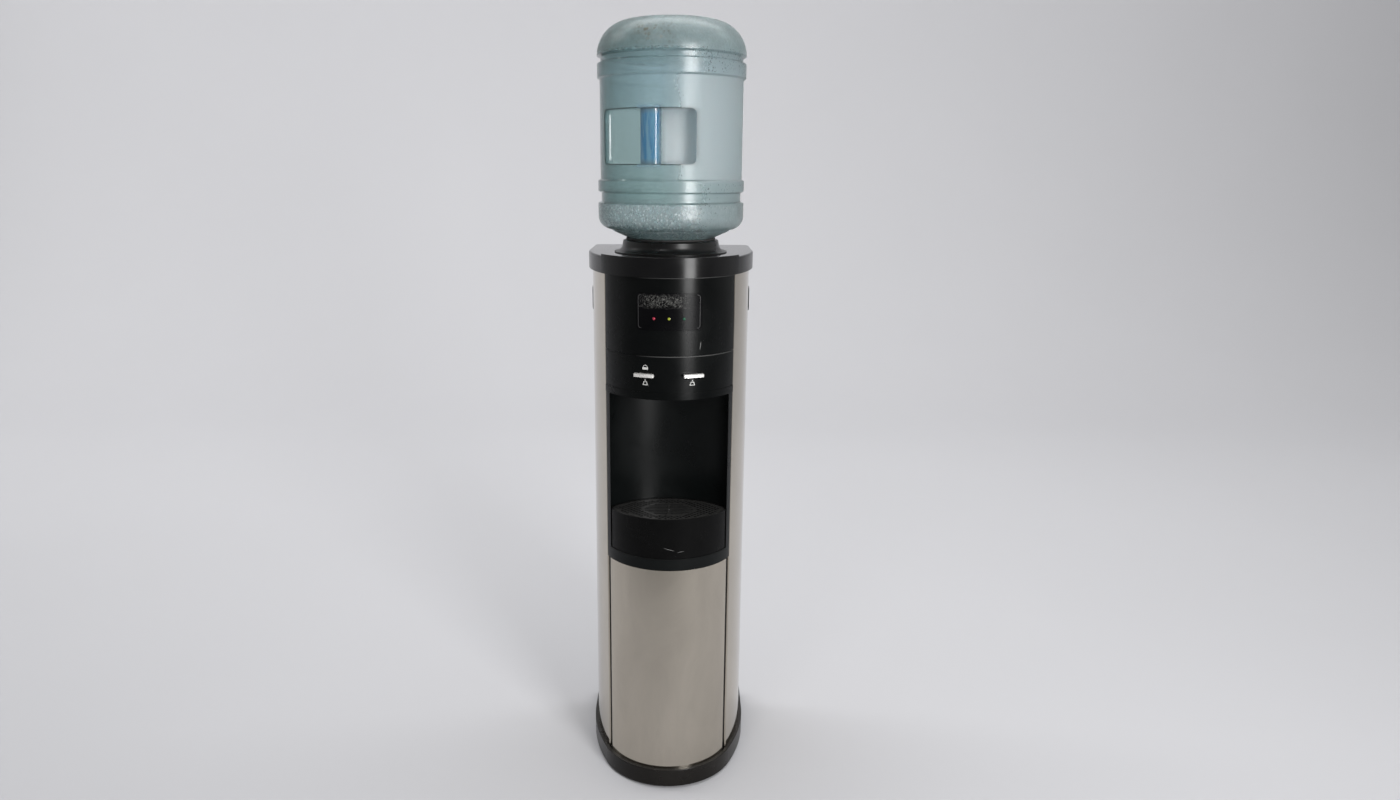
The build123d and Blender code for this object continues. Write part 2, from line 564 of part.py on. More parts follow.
# Tap fascia: curved band with a raised lower lip and a window for each lever
LIP_BAND = 13.0
LIP_PROUD = 1.2
TAP_ANGLE = degrees(asin(TAP_X / NOSE_RADIUS))
STEM_ANGLE = degrees(LEVER_STEM_WIDTH / 2 / NOSE_RADIUS)
WINDOW_SPREAD = STEM_ANGLE + degrees(1.5 / NOSE_RADIUS)
LEVER_ARM = PIVOT_Y - nose_depth(TAP_X - LEVER_STEM_WIDTH / 2, NOSE_RADIUS)
SWEPT_DROP = LEVER_STEM_THICKNESS / 2 + LEVER_ARM * tan(radians(LEVER_PRESS)) + 2 * GAP  # room under the stem
WINDOW_ABOVE = 4.0
with BuildPart() as tap_fascia:
    with BuildSketch(Plane.XY.offset(OPENING_TOP)):
        add(nose_band(NOSE_RADIUS - WALL, NOSE_RADIUS, -FASCIA_ANGLE, FASCIA_ANGLE))
    extrude(amount=TAP_FASCIA_HEIGHT)
    with BuildSketch(Plane.XY.offset(OPENING_TOP)):
        add(nose_band(NOSE_RADIUS - WALL, NOSE_RADIUS + LIP_PROUD, -FASCIA_ANGLE, FASCIA_ANGLE))
    extrude(amount=LIP_BAND)
    with BuildSketch(Plane.XY.offset(PIVOT_Z - SWEPT_DROP)):
        for side in (-1, 1):
            start = side * TAP_ANGLE - WINDOW_SPREAD
            add(nose_band(NOSE_RADIUS - 2 * WALL, NOSE_RADIUS + WALL, start, start + 2 * WINDOW_SPREAD))
    extrude(amount=SWEPT_DROP + WINDOW_ABOVE, mode=Mode.SUBTRACT)
tap_fascia.part.label = "tap_fascia"

# Display fascia: curved band with a recess for the window and posts for the lamp board
WINDOW_BOTTOM = DISPLAY_BOTTOM + WINDOW_RISE
WINDOW_MIDDLE = WINDOW_BOTTOM + WINDOW_HEIGHT / 2
WINDOW_ROUND = 7.0
LAMP_Z = WINDOW_BOTTOM + LAMP_RISE
BOARD_FRONT = BOARD_SETBACK - CABINET_FRONT
BOARD_POST_X = 40.0
BOARD_POST_RADIUS = 3.5
LAMP_HOLE = LAMP_RADIUS + GAP
with BuildPart() as window_recess:
    with BuildSketch(Plane.XY.offset(WINDOW_BOTTOM)):
        add(nose_band(NOSE_RADIUS - WINDOW_RECESS, NOSE_RADIUS + WALL, -FASCIA_ANGLE, FASCIA_ANGLE))
    extrude(amount=WINDOW_HEIGHT)
    with BuildSketch(Plane.XZ):
        with Locations((0, WINDOW_MIDDLE)):
            RectangleRounded(WINDOW_WIDTH, WINDOW_HEIGHT, WINDOW_ROUND)
    extrude(amount=CABINET_FRONT + WALL, mode=Mode.INTERSECT)
with BuildPart() as display_fascia:
    with BuildSketch(Plane.XY.offset(DISPLAY_BOTTOM)):
        add(nose_band(NOSE_RADIUS - WALL, NOSE_RADIUS, -FASCIA_ANGLE, FASCIA_ANGLE))
    extrude(amount=DISPLAY_FASCIA_HEIGHT)
    add(window_recess.part, mode=Mode.SUBTRACT)
    with BuildSketch(Plane.XZ.offset(-BOARD_FRONT)):
        with Locations((-BOARD_POST_X, LAMP_Z), (BOARD_POST_X, LAMP_Z)):
            Circle(BOARD_POST_RADIUS)
    extrude(amount=BOARD_FRONT - nose_depth(BOARD_POST_X + BOARD_POST_RADIUS, NOSE_RADIUS - 0.8 * WALL))
    with BuildSketch(Plane.XZ.offset(-BOARD_FRONT)):
        with Locations((0, LAMP_Z)):
            with GridLocations(LAMP_SPACING, 0, 3, 1):
                Circle(LAMP_HOLE)
    extrude(amount=BOARD_SETBACK + WALL, mode=Mode.SUBTRACT)
display_fascia.part.label = "display_fascia"

# Display window: thin curved plate in the recess
WINDOW_PLATE = 1.0
WINDOW_BACK = NOSE_RADIUS - WINDOW_RECESS + GAP / 2
with BuildPart() as display_window:
    with BuildSketch(Plane.XY.offset(WINDOW_BOTTOM)):
        add(nose_band(WINDOW_BACK, WINDOW_BACK + WINDOW_PLATE, -FASCIA_ANGLE, FASCIA_ANGLE))
    extrude(amount=WINDOW_HEIGHT)
    with BuildSketch(Plane.XZ):
        with Locations((0, WINDOW_MIDDLE)):
            RectangleRounded(WINDOW_WIDTH - 2 * GAP, WINDOW_HEIGHT - 2 * GAP, WINDOW_ROUND - GAP)
        with Locations((0, LAMP_Z)):
            with GridLocations(LAMP_SPACING, 0, 3, 1):
                Circle(LAMP_HOLE, mode=Mode.SUBTRACT)
    extrude(amount=CABINET_FRONT + WALL, mode=Mode.INTERSECT)
display_window.part.label = "display_window"

# Indicator board behind the display fascia
BOARD_HEIGHT = 24.0
with BuildPart() as indicator_board:
    with BuildSketch(Plane.XZ.offset(-BOARD_FRONT)):
        with Locations((0, LAMP_Z)):
            Rectangle(2 * (BOARD_POST_X + BOARD_POST_RADIUS), BOARD_HEIGHT)
    extrude(amount=-BOARD_THICKNESS)
indicator_board.part.label = "indicator_board"


def lamp(x):
    """A round lamp from the board to just proud of the display window, with a rounded tip."""
    with BuildPart() as lens:
        with BuildSketch(Plane.XZ.offset(-BOARD_FRONT)):
            with Locations((x, LAMP_Z)):
                Circle(LAMP_RADIUS)
        extrude(amount=BOARD_FRONT - nose_depth(x, NOSE_RADIUS) + 2 * GAP)
        fillet(lens.faces().sort_by(Axis.Y)[0].edges(), 0.6 * LAMP_RADIUS)
    return lens.part


hot_lamp = lamp(-LAMP_SPACING)
hot_lamp.label = "hot_lamp"
power_lamp = lamp(0)
power_lamp.label = "power_lamp"
cold_lamp = lamp(LAMP_SPACING)
cold_lamp.label = "cold_lamp"

# Top cover: plate and skirt, with a spill lip over the front and a round opening for the collar
LID_ROUND = 4.0
LIP_WALL = 3.0
COLLAR_OPENING = 84.0
LIP_RADIUS = NOSE_RADIUS + OVERHANG
LIP_ROOT = LID_ROUND + WALL / 2  # lip's root below the top of the plate
with BuildPart() as top_cover:
    with BuildSketch(Plane.XY.offset(LID_BOTTOM)):
        add(cabinet_plan(OVERHANG, LID_BACK, CORNER))
    extrude(amount=LID_HEIGHT)
    fillet(top_cover.faces().sort_by(Axis.Z)[-1].edges(), LID_ROUND)
    with BuildSketch(Plane.XY.offset(LID_BOTTOM)):
        add(cabinet_plan(GAP, LID_BACK - WALL, CORNER - WALL))
    extrude(amount=LID_HEIGHT - WALL, mode=Mode.SUBTRACT)
    with BuildSketch(Plane.XY.offset(LID_TOP - WALL)):
        Circle(COLLAR_OPENING)
    extrude(amount=WALL, mode=Mode.SUBTRACT)
    with BuildSketch(Plane.XY.offset(LID_TOP - LIP_ROOT)):
        add(nose_band(LIP_RADIUS - LIP_WALL, LIP_RADIUS, -NOSE_ANGLE, NOSE_ANGLE))
    extrude(amount=LIP_ROOT + SPILL_LIP_HEIGHT)
    fillet(top_cover.faces().sort_by(Axis.Z)[-1].edges().filter_by(GeomType.CIRCLE), LIP_WALL / 3)
top_cover.part.label = "top_cover"

# Bottle collar: tapered seat, funnel and the well that takes the bottle's neck
COLLAR_FLOOR = LID_TOP + GAP
WELL_FLOOR = LID_TOP - WELL_DEPTH
FUNNEL_DROP = 38.0
RIM_WIDTH = 9.5
FOOT_EDGE = 1.5
FLARE_RISE = 13.0
FLARE_SPREAD = COLLAR_FOOT_RADIUS - COLLAR_NECK_RADIUS
HOLLOW = 0.29  # how close the flare comes to its own corner
WELL_HOLE = SPIKE_RADIUS + GAP
with BuildPart() as bottle_collar:
    with BuildSketch(Plane.XZ):
        with BuildLine():
            ThreePointArc(
                (COLLAR_FOOT_RADIUS, COLLAR_FLOOR + FOOT_EDGE),
                (COLLAR_NECK_RADIUS + HOLLOW * FLARE_SPREAD, COLLAR_FLOOR + FOOT_EDGE + HOLLOW * FLARE_RISE),
                (COLLAR_NECK_RADIUS, COLLAR_FLOOR + FOOT_EDGE + FLARE_RISE),
            )
            Polyline(
                (COLLAR_NECK_RADIUS, COLLAR_FLOOR + FOOT_EDGE + FLARE_RISE),
                (COLLAR_RIM_RADIUS, COLLAR_TOP),
                (COLLAR_RIM_RADIUS - RIM_WIDTH, COLLAR_TOP),
                (WELL_RADIUS, COLLAR_TOP - FUNNEL_DROP),
                (WELL_RADIUS, WELL_FLOOR + WALL),
                (WELL_HOLE, WELL_FLOOR + WALL),
                (WELL_HOLE, WELL_FLOOR),
                (WELL_RADIUS + WALL, WELL_FLOOR),
                (WELL_RADIUS + WALL, COLLAR_TOP - FUNNEL_DROP - WALL),
                (COLLAR_OPENING - GAP, COLLAR_FLOOR),
                (COLLAR_FOOT_RADIUS, COLLAR_FLOOR),
                (COLLAR_FOOT_RADIUS, COLLAR_FLOOR + FOOT_EDGE),
            )
        make_face()
    revolve(axis=Axis.Z)
    fillet(bottle_collar.edges().group_by(Axis.Z)[-1], RIM_WIDTH / 4)
bottle_collar.part.label = "bottle_collar"

# Rubber seal on the collar's rim, which the bottle's shoulder sits on
SEAL_Z = COLLAR_TOP + SEAL_RADIUS
with BuildPart() as collar_seal:
    with BuildSketch(Plane.XZ):
        with Locations((SEAL_RING, SEAL_Z)):
            Circle(SEAL_RADIUS)
        with Locations((SEAL_RING, COLLAR_TOP - SEAL_RADIUS)):
            Rectangle(4 * SEAL_RADIUS, 2 * SEAL_RADIUS, mode=Mode.SUBTRACT)
    revolve(axis=Axis.Z)
collar_seal.part.label = "collar_seal"

# Feed spike: hollow spike that opens the bottle's cap and leads the water to the cold tank
SPIKE_TOP = WELL_FLOOR + 52.0
SPIKE_TIP = 12.0
SPIKE_FLANGE = 7.0
SPIKE_BORE = 6.0
SPIKE_SLOT = 5.0
TANK_NECK = 8.0
TANK_TOP = WELL_FLOOR - TANK_NECK
with BuildPart() as feed_spike:
    with BuildSketch(Plane.XZ):
        with BuildLine():
            Polyline(
                (SPIKE_BORE, TANK_TOP),
                (SPIKE_RADIUS, TANK_TOP),
                (SPIKE_RADIUS, WELL_FLOOR + WALL + GAP),
                (SPIKE_RADIUS + SPIKE_FLANGE, WELL_FLOOR + WALL + GAP),
                (SPIKE_RADIUS + SPIKE_FLANGE, WELL_FLOOR + 2 * WALL),
                (SPIKE_RADIUS, WELL_FLOOR + 2 * WALL),
                (SPIKE_RADIUS, SPIKE_TOP - SPIKE_TIP),
                (0, SPIKE_TOP),
                (0, SPIKE_TOP - SPIKE_TIP),
                (SPIKE_BORE, SPIKE_TOP - SPIKE_TIP - SPIKE_BORE),
                close=True,
            )
        make_face()
    revolve(axis=Axis.Z)
    with BuildSketch(Plane.XY.offset(SPIKE_TOP - 2.5 * SPIKE_TIP)):
        Rectangle(3 * SPIKE_RADIUS, SPIKE_SLOT)
        Rectangle(SPIKE_SLOT, 3 * SPIKE_RADIUS)
    extrude(amount=SPIKE_TIP, mode=Mode.SUBTRACT)
feed_spike.part.label = "feed_spike"

# Bottle: heights follow from where its shoulder meets the seal
SLOPE = radians(SHOULDER_SLOPE)
SEAT_DISTANCE = SEAL_RADIUS + GAP
RIDGE_OUTER = BOTTLE_RADIUS + RIDGE
STEP_RADIUS = RIDGE_OUTER - SHOULDER_ROUND


def shoulder_height(radius):
    """Height of the bottle's conical shoulder, just clear of the seal, at a radius."""
    touch_radius = SEAL_RING - sin(SLOPE) * SEAT_DISTANCE
    return SEAL_Z + cos(SLOPE) * SEAT_DISTANCE + (radius - touch_radius) * tan(SLOPE)


STEP_Z = shoulder_height(STEP_RADIUS) + STEP
BOTTLE_TOP = STEP_Z + BOTTLE_HEIGHT
NECK_TOP_RADIUS = NECK_RADIUS + 6.0
NECK_TOP = shoulder_height(NECK_TOP_RADIUS)
NECK_END = NECK_TOP - NECK_LENGTH


def bottle_profile(inset):
    """Half section of the bottle, drawn in by a wall's thickness for the space inside it."""
    rise = inset / cos(SLOPE)
    outer = RIDGE_OUTER - inset
    body = BOTTLE_RADIUS - inset
    groove = body - GROOVE
    base_ring = RIDGE_OUTER - BASE_ROUND
    side_top = BOTTLE_TOP - BASE_ROUND
    lower_top = STEP_Z + LOWER_RIDGE
    upper_top = BOTTLE_TOP - UPPER_RIDGE
    neck_end = NECK_END - inset
    corner = sqrt(0.5)
    with BuildSketch() as section:
        with BuildLine():
            ThreePointArc(
                (0, BOTTLE_TOP - BASE_DISH - inset),
                (base_ring / 2, BOTTLE_TOP - 0.7 * BASE_DISH - inset),
                (base_ring, BOTTLE_TOP - inset),
            )
            ThreePointArc(
                (base_ring, BOTTLE_TOP - inset),
                (base_ring + corner * (BASE_ROUND - inset), side_top + corner * (BASE_ROUND - inset)),
                (outer, side_top),
            )
            Polyline(
                (outer, side_top),
                (groove, side_top - RIDGE_SLOPE),
                (groove, upper_top + RIDGE_HEIGHT + RIDGE_SLOPE),
                (outer, upper_top + RIDGE_HEIGHT),
                (outer, upper_top),
                (body, upper_top - RIDGE_SLOPE),
                (body, lower_top + LOWER_RIDGE_HEIGHT + RIDGE_SLOPE),
                (outer, lower_top + LOWER_RIDGE_HEIGHT),
                (outer, lower_top),
                (groove, lower_top - RIDGE_SLOPE),
                (groove, STEP_Z + 2 * SHOULDER_ROUND + RIDGE_SLOPE),
                (outer, STEP_Z + 2 * SHOULDER_ROUND),
                (outer, STEP_Z + SHOULDER_ROUND),
            )
            ThreePointArc(
                (outer, STEP_Z + SHOULDER_ROUND),
                (
                    STEP_RADIUS + corner * (SHOULDER_ROUND - inset),
                    STEP_Z + SHOULDER_ROUND - corner * (SHOULDER_ROUND - inset),
                ),
                (STEP_RADIUS, STEP_Z + inset),
            )
            Polyline(
                (STEP_RADIUS, STEP_Z + inset),
                (STEP_RADIUS - STEP, shoulder_height(STEP_RADIUS - STEP) + rise),
                (NECK_TOP_RADIUS, NECK_TOP + rise),
                (NECK_RADIUS - inset, NECK_TOP - NECK_TOP_RADIUS + NECK_RADIUS),
                (NECK_RADIUS - inset, neck_end),
                (0, neck_end),
                (0, BOTTLE_TOP - BASE_DISH - inset),
            )
        make_face()
    return section.sketch


def handle_plane(height):
    """Level plane whose -Y points out through the bottle's handle."""
    turn = radians(HANDLE_TURN)
    return Plane(origin=(0, 0, height), x_dir=(cos(turn), sin(turn), 0), z_dir=(0, 0, 1))


def handle_pocket(grow):
    """Rounded block that makes the handle pocket, grown by a wall for the bottle's inside."""
    with BuildPart() as block:
        with BuildSketch(handle_plane(STEP_Z + POCKET_RISE - grow)):
            with Locations((-POCKET_SHIFT, -BOTTLE_RADIUS)):
                RectangleRounded(POCKET_WIDTH + 2 * grow, 2 * (POCKET_DEPTH + grow), POCKET_ROUND + grow)
        extrude(amount=POCKET_HEIGHT + 2 * grow)
        ends = block.faces().filter_by(Axis.Z)
        fillet(ends.edges(), POCKET_ROUND / 2 + grow)
    return block.part


with BuildPart() as bottle_space:
    with BuildSketch(Plane.XZ):
        add(bottle_profile(BOTTLE_WALL))
    revolve(axis=Axis.Z)
    add(handle_pocket(BOTTLE_WALL), mode=Mode.SUBTRACT)
with BuildPart() as bottle:
    with BuildSketch(Plane.XZ):
        add(bottle_profile(0))
    revolve(axis=Axis.Z)
    add(handle_pocket(0), mode=Mode.SUBTRACT)
    add(bottle_space.part, mode=Mode.SUBTRACT)
    with BuildSketch(handle_plane(STEP_Z + POCKET_RISE - BOTTLE_WALL / 2)):
        with Locations((0, GRIP_BAR_DEPTH / 2 + BOTTLE_WALL - BOTTLE_RADIUS)):
            Ellipse(GRIP_BAR_WIDTH / 2, GRIP_BAR_DEPTH / 2)
    extrude(amount=POCKET_HEIGHT + BOTTLE_WALL)
bottle.part.label = "bottle"

# Snap cap on the bottle's neck, opened by the spike
CAP_HOLE = SPIKE_RADIUS + 1.5
CAP_RADIUS = NECK_RADIUS + GAP + CAP_WALL
with BuildPart() as bottle_cap:
    with BuildSketch(Plane.XY.offset(NECK_END - CAP_WALL)):
        Circle(CAP_RADIUS)
    extrude(amount=CAP_HEIGHT)
    fillet(bottle_cap.faces().sort_by(Axis.Z)[0].edges(), CAP_WALL / 2)
    with BuildSketch(Plane.XY.offset(NECK_END)):
        Circle(NECK_RADIUS + GAP)
    extrude(amount=CAP_HEIGHT, mode=Mode.SUBTRACT)
    with BuildSketch(Plane.XY.offset(NECK_END - CAP_WALL)):
        Circle(CAP_HOLE)
    extrude(amount=CAP_WALL, mode=Mode.SUBTRACT)
bottle_cap.part.label = "bottle_cap"

# Tap bracket: plate on the ceiling with a yoke over each valve
PORTAL_HALF = 15.0
PORTAL_WALL = 3.0
PORTAL_FRONT = PIVOT_Y - 6.0
PORTAL_BACK = VALVE_Y + VALVE_RADIUS + 4.0
COLLAR_DISC = 3.0
PRONG_RADIUS = 2.0
STEM_COLLAR_Z = PIVOT_Z + PRONG_RADIUS + GAP
SPRING_ROOM = 11.7
BRIDGE_Z = STEM_COLLAR_Z + COLLAR_DISC + SPRING_ROOM
BRACKET_TOP = CEILING_TOP + BRACKET_PLATE
with BuildPart() as tap_bracket:
    with BuildSketch(Plane.XY.offset(CEILING_TOP)):
        with Locations((0, (PORTAL_FRONT + PORTAL_BACK) / 2)):
            Rectangle(2 * (TAP_X + PORTAL_HALF + PORTAL_WALL), PORTAL_BACK - PORTAL_FRONT)
        with Locations((-TAP_X, VALVE_Y), (TAP_X, VALVE_Y)):
            Circle(NOZZLE_HOLE, mode=Mode.SUBTRACT)
    extrude(amount=BRACKET_PLATE)
    with BuildSketch(Plane.XY.offset(BRACKET_TOP)):
        for side in (-1, 1):
            for wall in (-1, 1):
                wall_x = side * TAP_X + wall * (PORTAL_HALF + PORTAL_WALL / 2)
                with Locations((wall_x, (PORTAL_FRONT + PORTAL_BACK) / 2)):
                    Rectangle(PORTAL_WALL, PORTAL_BACK - PORTAL_FRONT)
    extrude(amount=BRIDGE_Z - BRACKET_TOP)
    with BuildSketch(Plane.XY.offset(BRIDGE_Z)):
        with Locations((-TAP_X, VALVE_Y), (TAP_X, VALVE_Y)):
            Rectangle(2 * (PORTAL_HALF + PORTAL_WALL), 2 * VALVE_RADIUS)
    extrude(amount=PORTAL_WALL)
    with BuildSketch(Plane.YZ.offset(-TAP_X - PORTAL_HALF - 2 * PORTAL_WALL)):
        with Locations((PIVOT_Y, PIVOT_Z)):
            Circle(PIN_RADIUS)
    extrude(amount=2 * (TAP_X + PORTAL_HALF + 2 * PORTAL_WALL), mode=Mode.SUBTRACT)
tap_bracket.part.label = "tap_bracket"

# Pins that the levers turn on
PIN_HALF = PORTAL_HALF + PORTAL_WALL
with BuildPart() as lever_pins:
    for side in (-1, 1):
        with BuildSketch(Plane.YZ.offset(side * TAP_X - PIN_HALF)):
            with Locations((PIVOT_Y, PIVOT_Z)):
                Circle(PIN_RADIUS - PIN_SLIP / 2)
        extrude(amount=2 * PIN_HALF)
lever_pins.part.label = "lever_pins"

# Valves, stems, springs and levers, one of each for a tap
VALVE_HEIGHT = 18.0
VALVE_CHAMBER = 6.5
VALVE_TOP = BRACKET_TOP + VALVE_HEIGHT
SPIGOT_RADIUS = 4.5
SPIGOT_REACH = 12.0
SPIGOT_Z = BRACKET_TOP + 8.0
SEAT_PLATE = 2.0
SEAL_DISC = 3.0
LEVER_BOSS_RADIUS = 4.6
BOSS_HALF = 12.0
PRONG_INNER = 4.4
PRONG_WIDTH = 3.4
STEM_COLLAR_RADIUS = 8.0


def valve_body(x):
    """Valve housing with its nozzle through the ceiling and a hose spigot behind."""
    with BuildPart() as valve:
        with BuildSketch(Plane.XY.offset(BRACKET_TOP)):
            with Locations((x, VALVE_Y)):
                Circle(VALVE_RADIUS)
        extrude(amount=VALVE_HEIGHT)
        with BuildSketch(Plane.XY.offset(CEILING - NOZZLE_DROP)):
            with Locations((x, VALVE_Y)):
                Circle(0.8 * NOZZLE_RADIUS)
        with BuildSketch(Plane.XY.offset(CEILING - GAP)):
            with Locations((x, VALVE_Y)):
                Circle(NOZZLE_RADIUS)
        loft()
        with BuildSketch(Plane.XY.offset(CEILING - GAP)):
            with Locations((x, VALVE_Y)):
                Circle(NOZZLE_RADIUS)
        extrude(amount=BRACKET_TOP - CEILING + GAP)
        with BuildSketch(Plane.XZ.offset(-VALVE_Y)):
            with Locations((x, SPIGOT_Z)):
                Circle(SPIGOT_RADIUS)
        extrude(amount=-VALVE_RADIUS - SPIGOT_REACH)
        with BuildSketch(Plane.XY.offset(BRACKET_TOP + SEAT_PLATE)):
            with Locations((x, VALVE_Y)):
                Circle(VALVE_CHAMBER)
        extrude(amount=VALVE_HEIGHT - 2 * SEAT_PLATE, mode=Mode.SUBTRACT)
        with BuildSketch(Plane.XY.offset(CEILING - NOZZLE_DROP)):
            with Locations((x, VALVE_Y)):
                Circle(NOZZLE_BORE)
        extrude(amount=VALVE_TOP - CEILING + NOZZLE_DROP, mode=Mode.SUBTRACT)
        with BuildSketch(Plane.XZ.offset(-VALVE_Y)):
            with Locations((x, SPIGOT_Z)):
                Circle(HOSE_BORE)
        extrude(amount=-VALVE_RADIUS - SPIGOT_REACH, mode=Mode.SUBTRACT)
    return valve.part


def valve_stem(x):
    """Rod with a sealing disc on the seat and a collar that the lever's fork lifts."""
    seat = BRACKET_TOP + SEAT_PLATE + GAP
    with BuildPart() as stem:
        with BuildSketch(Plane.XY.offset(seat)):
            with Locations((x, VALVE_Y)):
                Circle(VALVE_CHAMBER - 3 * GAP)
        extrude(amount=SEAL_DISC)
        with BuildSketch(Plane.XY.offset(seat)):
            with Locations((x, VALVE_Y)):
                Circle(STEM_RADIUS)
        extrude(amount=STEM_COLLAR_Z + 2 * COLLAR_DISC - seat)
        with BuildSketch(Plane.XY.offset(STEM_COLLAR_Z)):
            with Locations((x, VALVE_Y)):
                Circle(STEM_COLLAR_RADIUS)
        extrude(amount=COLLAR_DISC)
    return stem.part


def valve_spring(x):
    """Compression spring between the stem's collar and the yoke."""
    room = SPRING_ROOM - 2 * GAP - 2 * SPRING_WIRE
    base = STEM_COLLAR_Z + COLLAR_DISC + GAP + SPRING_WIRE
    return winding((x, VALVE_Y), STEM_RADIUS + 2, base, room / SPRING_TURNS, SPRING_TURNS, SPRING_WIRE)


def tap_lever(x):
    """Lever: curved tab in front of the fascia, a stem through it, a boss on the pin and a fork behind."""
    angle = degrees(asin(x / NOSE_RADIUS))
    tab_angle = degrees(LEVER_WIDTH / 2 / (NOSE_RADIUS + LEVER_REACH))
    stem_bottom = PIVOT_Z - LEVER_STEM_THICKNESS / 2
    with BuildPart() as lever:
        with BuildSketch(Plane.XY.offset(PIVOT_Z - LEVER_THICKNESS / 2)):
            tab_inner = NOSE_RADIUS + LEVER_STAND_OFF
            add(nose_band(tab_inner, NOSE_RADIUS + LEVER_REACH, angle - tab_angle, angle + tab_angle))
        extrude(amount=LEVER_THICKNESS)
        fillet(lever.edges().filter_by(Axis.Z), 1.5)
        with BuildSketch(Plane.XY.offset(stem_bottom)):
            stem_inner = NOSE_RADIUS - LEVER_STEM_WIDTH / 2
            stem_outer = NOSE_RADIUS + LEVER_STAND_OFF + GAP
            add(nose_band(stem_inner, stem_outer, angle - STEM_ANGLE, angle + STEM_ANGLE))
            with Locations((x, (PIVOT_Y + nose_depth(x, stem_inner + FOLD)) / 2)):
                Rectangle(LEVER_STEM_WIDTH, PIVOT_Y - nose_depth(x, stem_inner + FOLD))
            for side in (-1, 1):
                with Locations((x + side * (PRONG_INNER + PRONG_WIDTH / 2), (PIVOT_Y + VALVE_Y) / 2)):
                    Rectangle(PRONG_WIDTH, FORK_REACH)
        extrude(amount=LEVER_STEM_THICKNESS - GAP)
        with BuildSketch(Plane.YZ.offset(x - BOSS_HALF)):
            with Locations((PIVOT_Y, PIVOT_Z)):
                Circle(LEVER_BOSS_RADIUS)
        extrude(amount=2 * BOSS_HALF)
        for side in (-1, 1):
            with BuildSketch(Plane.YZ.offset(x + side * (PRONG_INNER + PRONG_WIDTH / 2) - PRONG_WIDTH / 2)):
                with Locations((VALVE_Y, PIVOT_Z)):
                    Circle(PRONG_RADIUS)
            extrude(amount=PRONG_WIDTH)
        with BuildSketch(Plane.YZ.offset(x - BOSS_HALF)):
            with Locations((PIVOT_Y, PIVOT_Z)):
                Circle(PIN_RADIUS + PIN_SLIP)
        extrude(amount=2 * BOSS_HALF, mode=Mode.SUBTRACT)
    return lever.part


hot_valve_body = valve_body(-TAP_X)
hot_valve_body.label = "hot_valve_body"
cold_valve_body = valve_body(TAP_X)
cold_valve_body.label = "cold_valve_body"
hot_valve_stem = valve_stem(-TAP_X)
hot_valve_stem.label = "hot_valve_stem"
cold_valve_stem = valve_stem(TAP_X)
cold_valve_stem.label = "cold_valve_stem"
hot_valve_spring = valve_spring(-TAP_X)
hot_valve_spring.label = "hot_valve_spring"
cold_valve_spring = valve_spring(TAP_X)
cold_valve_spring.label = "cold_valve_spring"
hot_lever = tap_lever(-TAP_X)
hot_lever.label = "hot_lever"
cold_lever = tap_lever(TAP_X)
cold_lever.label = "cold_lever"

# Cold tank with its inlet neck under the spike
COIL_RING = COLD_TANK_RADIUS + GAP + COIL_RADIUS
FOAM_INNER = COIL_RING + COIL_RADIUS + GAP
FOAM_OUTER = FOAM_INNER + FOAM
TANK_Y = NICHE_BACK + 2 * WALL + FOAM_OUTER
TANK_BOTTOM = TANK_TOP - COLD_TANK_HEIGHT
SHELF_Z = TANK_BOTTOM - FOAM - GAP - SHELF_SHEET
OUTLET_X = 20.0
OUTLET_RADIUS = 5.0
OUTLET_Z = SPIGOT_Z
OUTLET_LENGTH = FOAM_OUTER - COLD_TANK_RADIUS + 4.0
OUTLET_TIP = TANK_Y - COLD_TANK_RADIUS - OUTLET_LENGTH
TANK_ROUND = 10.0
FEED_X = 28.0
SHELF_BACK = BACK_FACE - SHEET - GAP
HOT_TANK_Y = SHELF_BACK - HOT_TANK_RADIUS - 20.0


def rounded_can(y, base, radius, height, corner):
    """A closed upright can with rounded ends, centred in X."""
    with BuildPart() as can:
        with BuildSketch(Plane.XY.offset(base)):
            with Locations((0, y)):
                Circle(radius)
        extrude(amount=height)
        fillet(can.edges().filter_by(GeomType.CIRCLE), corner)
    return can.part


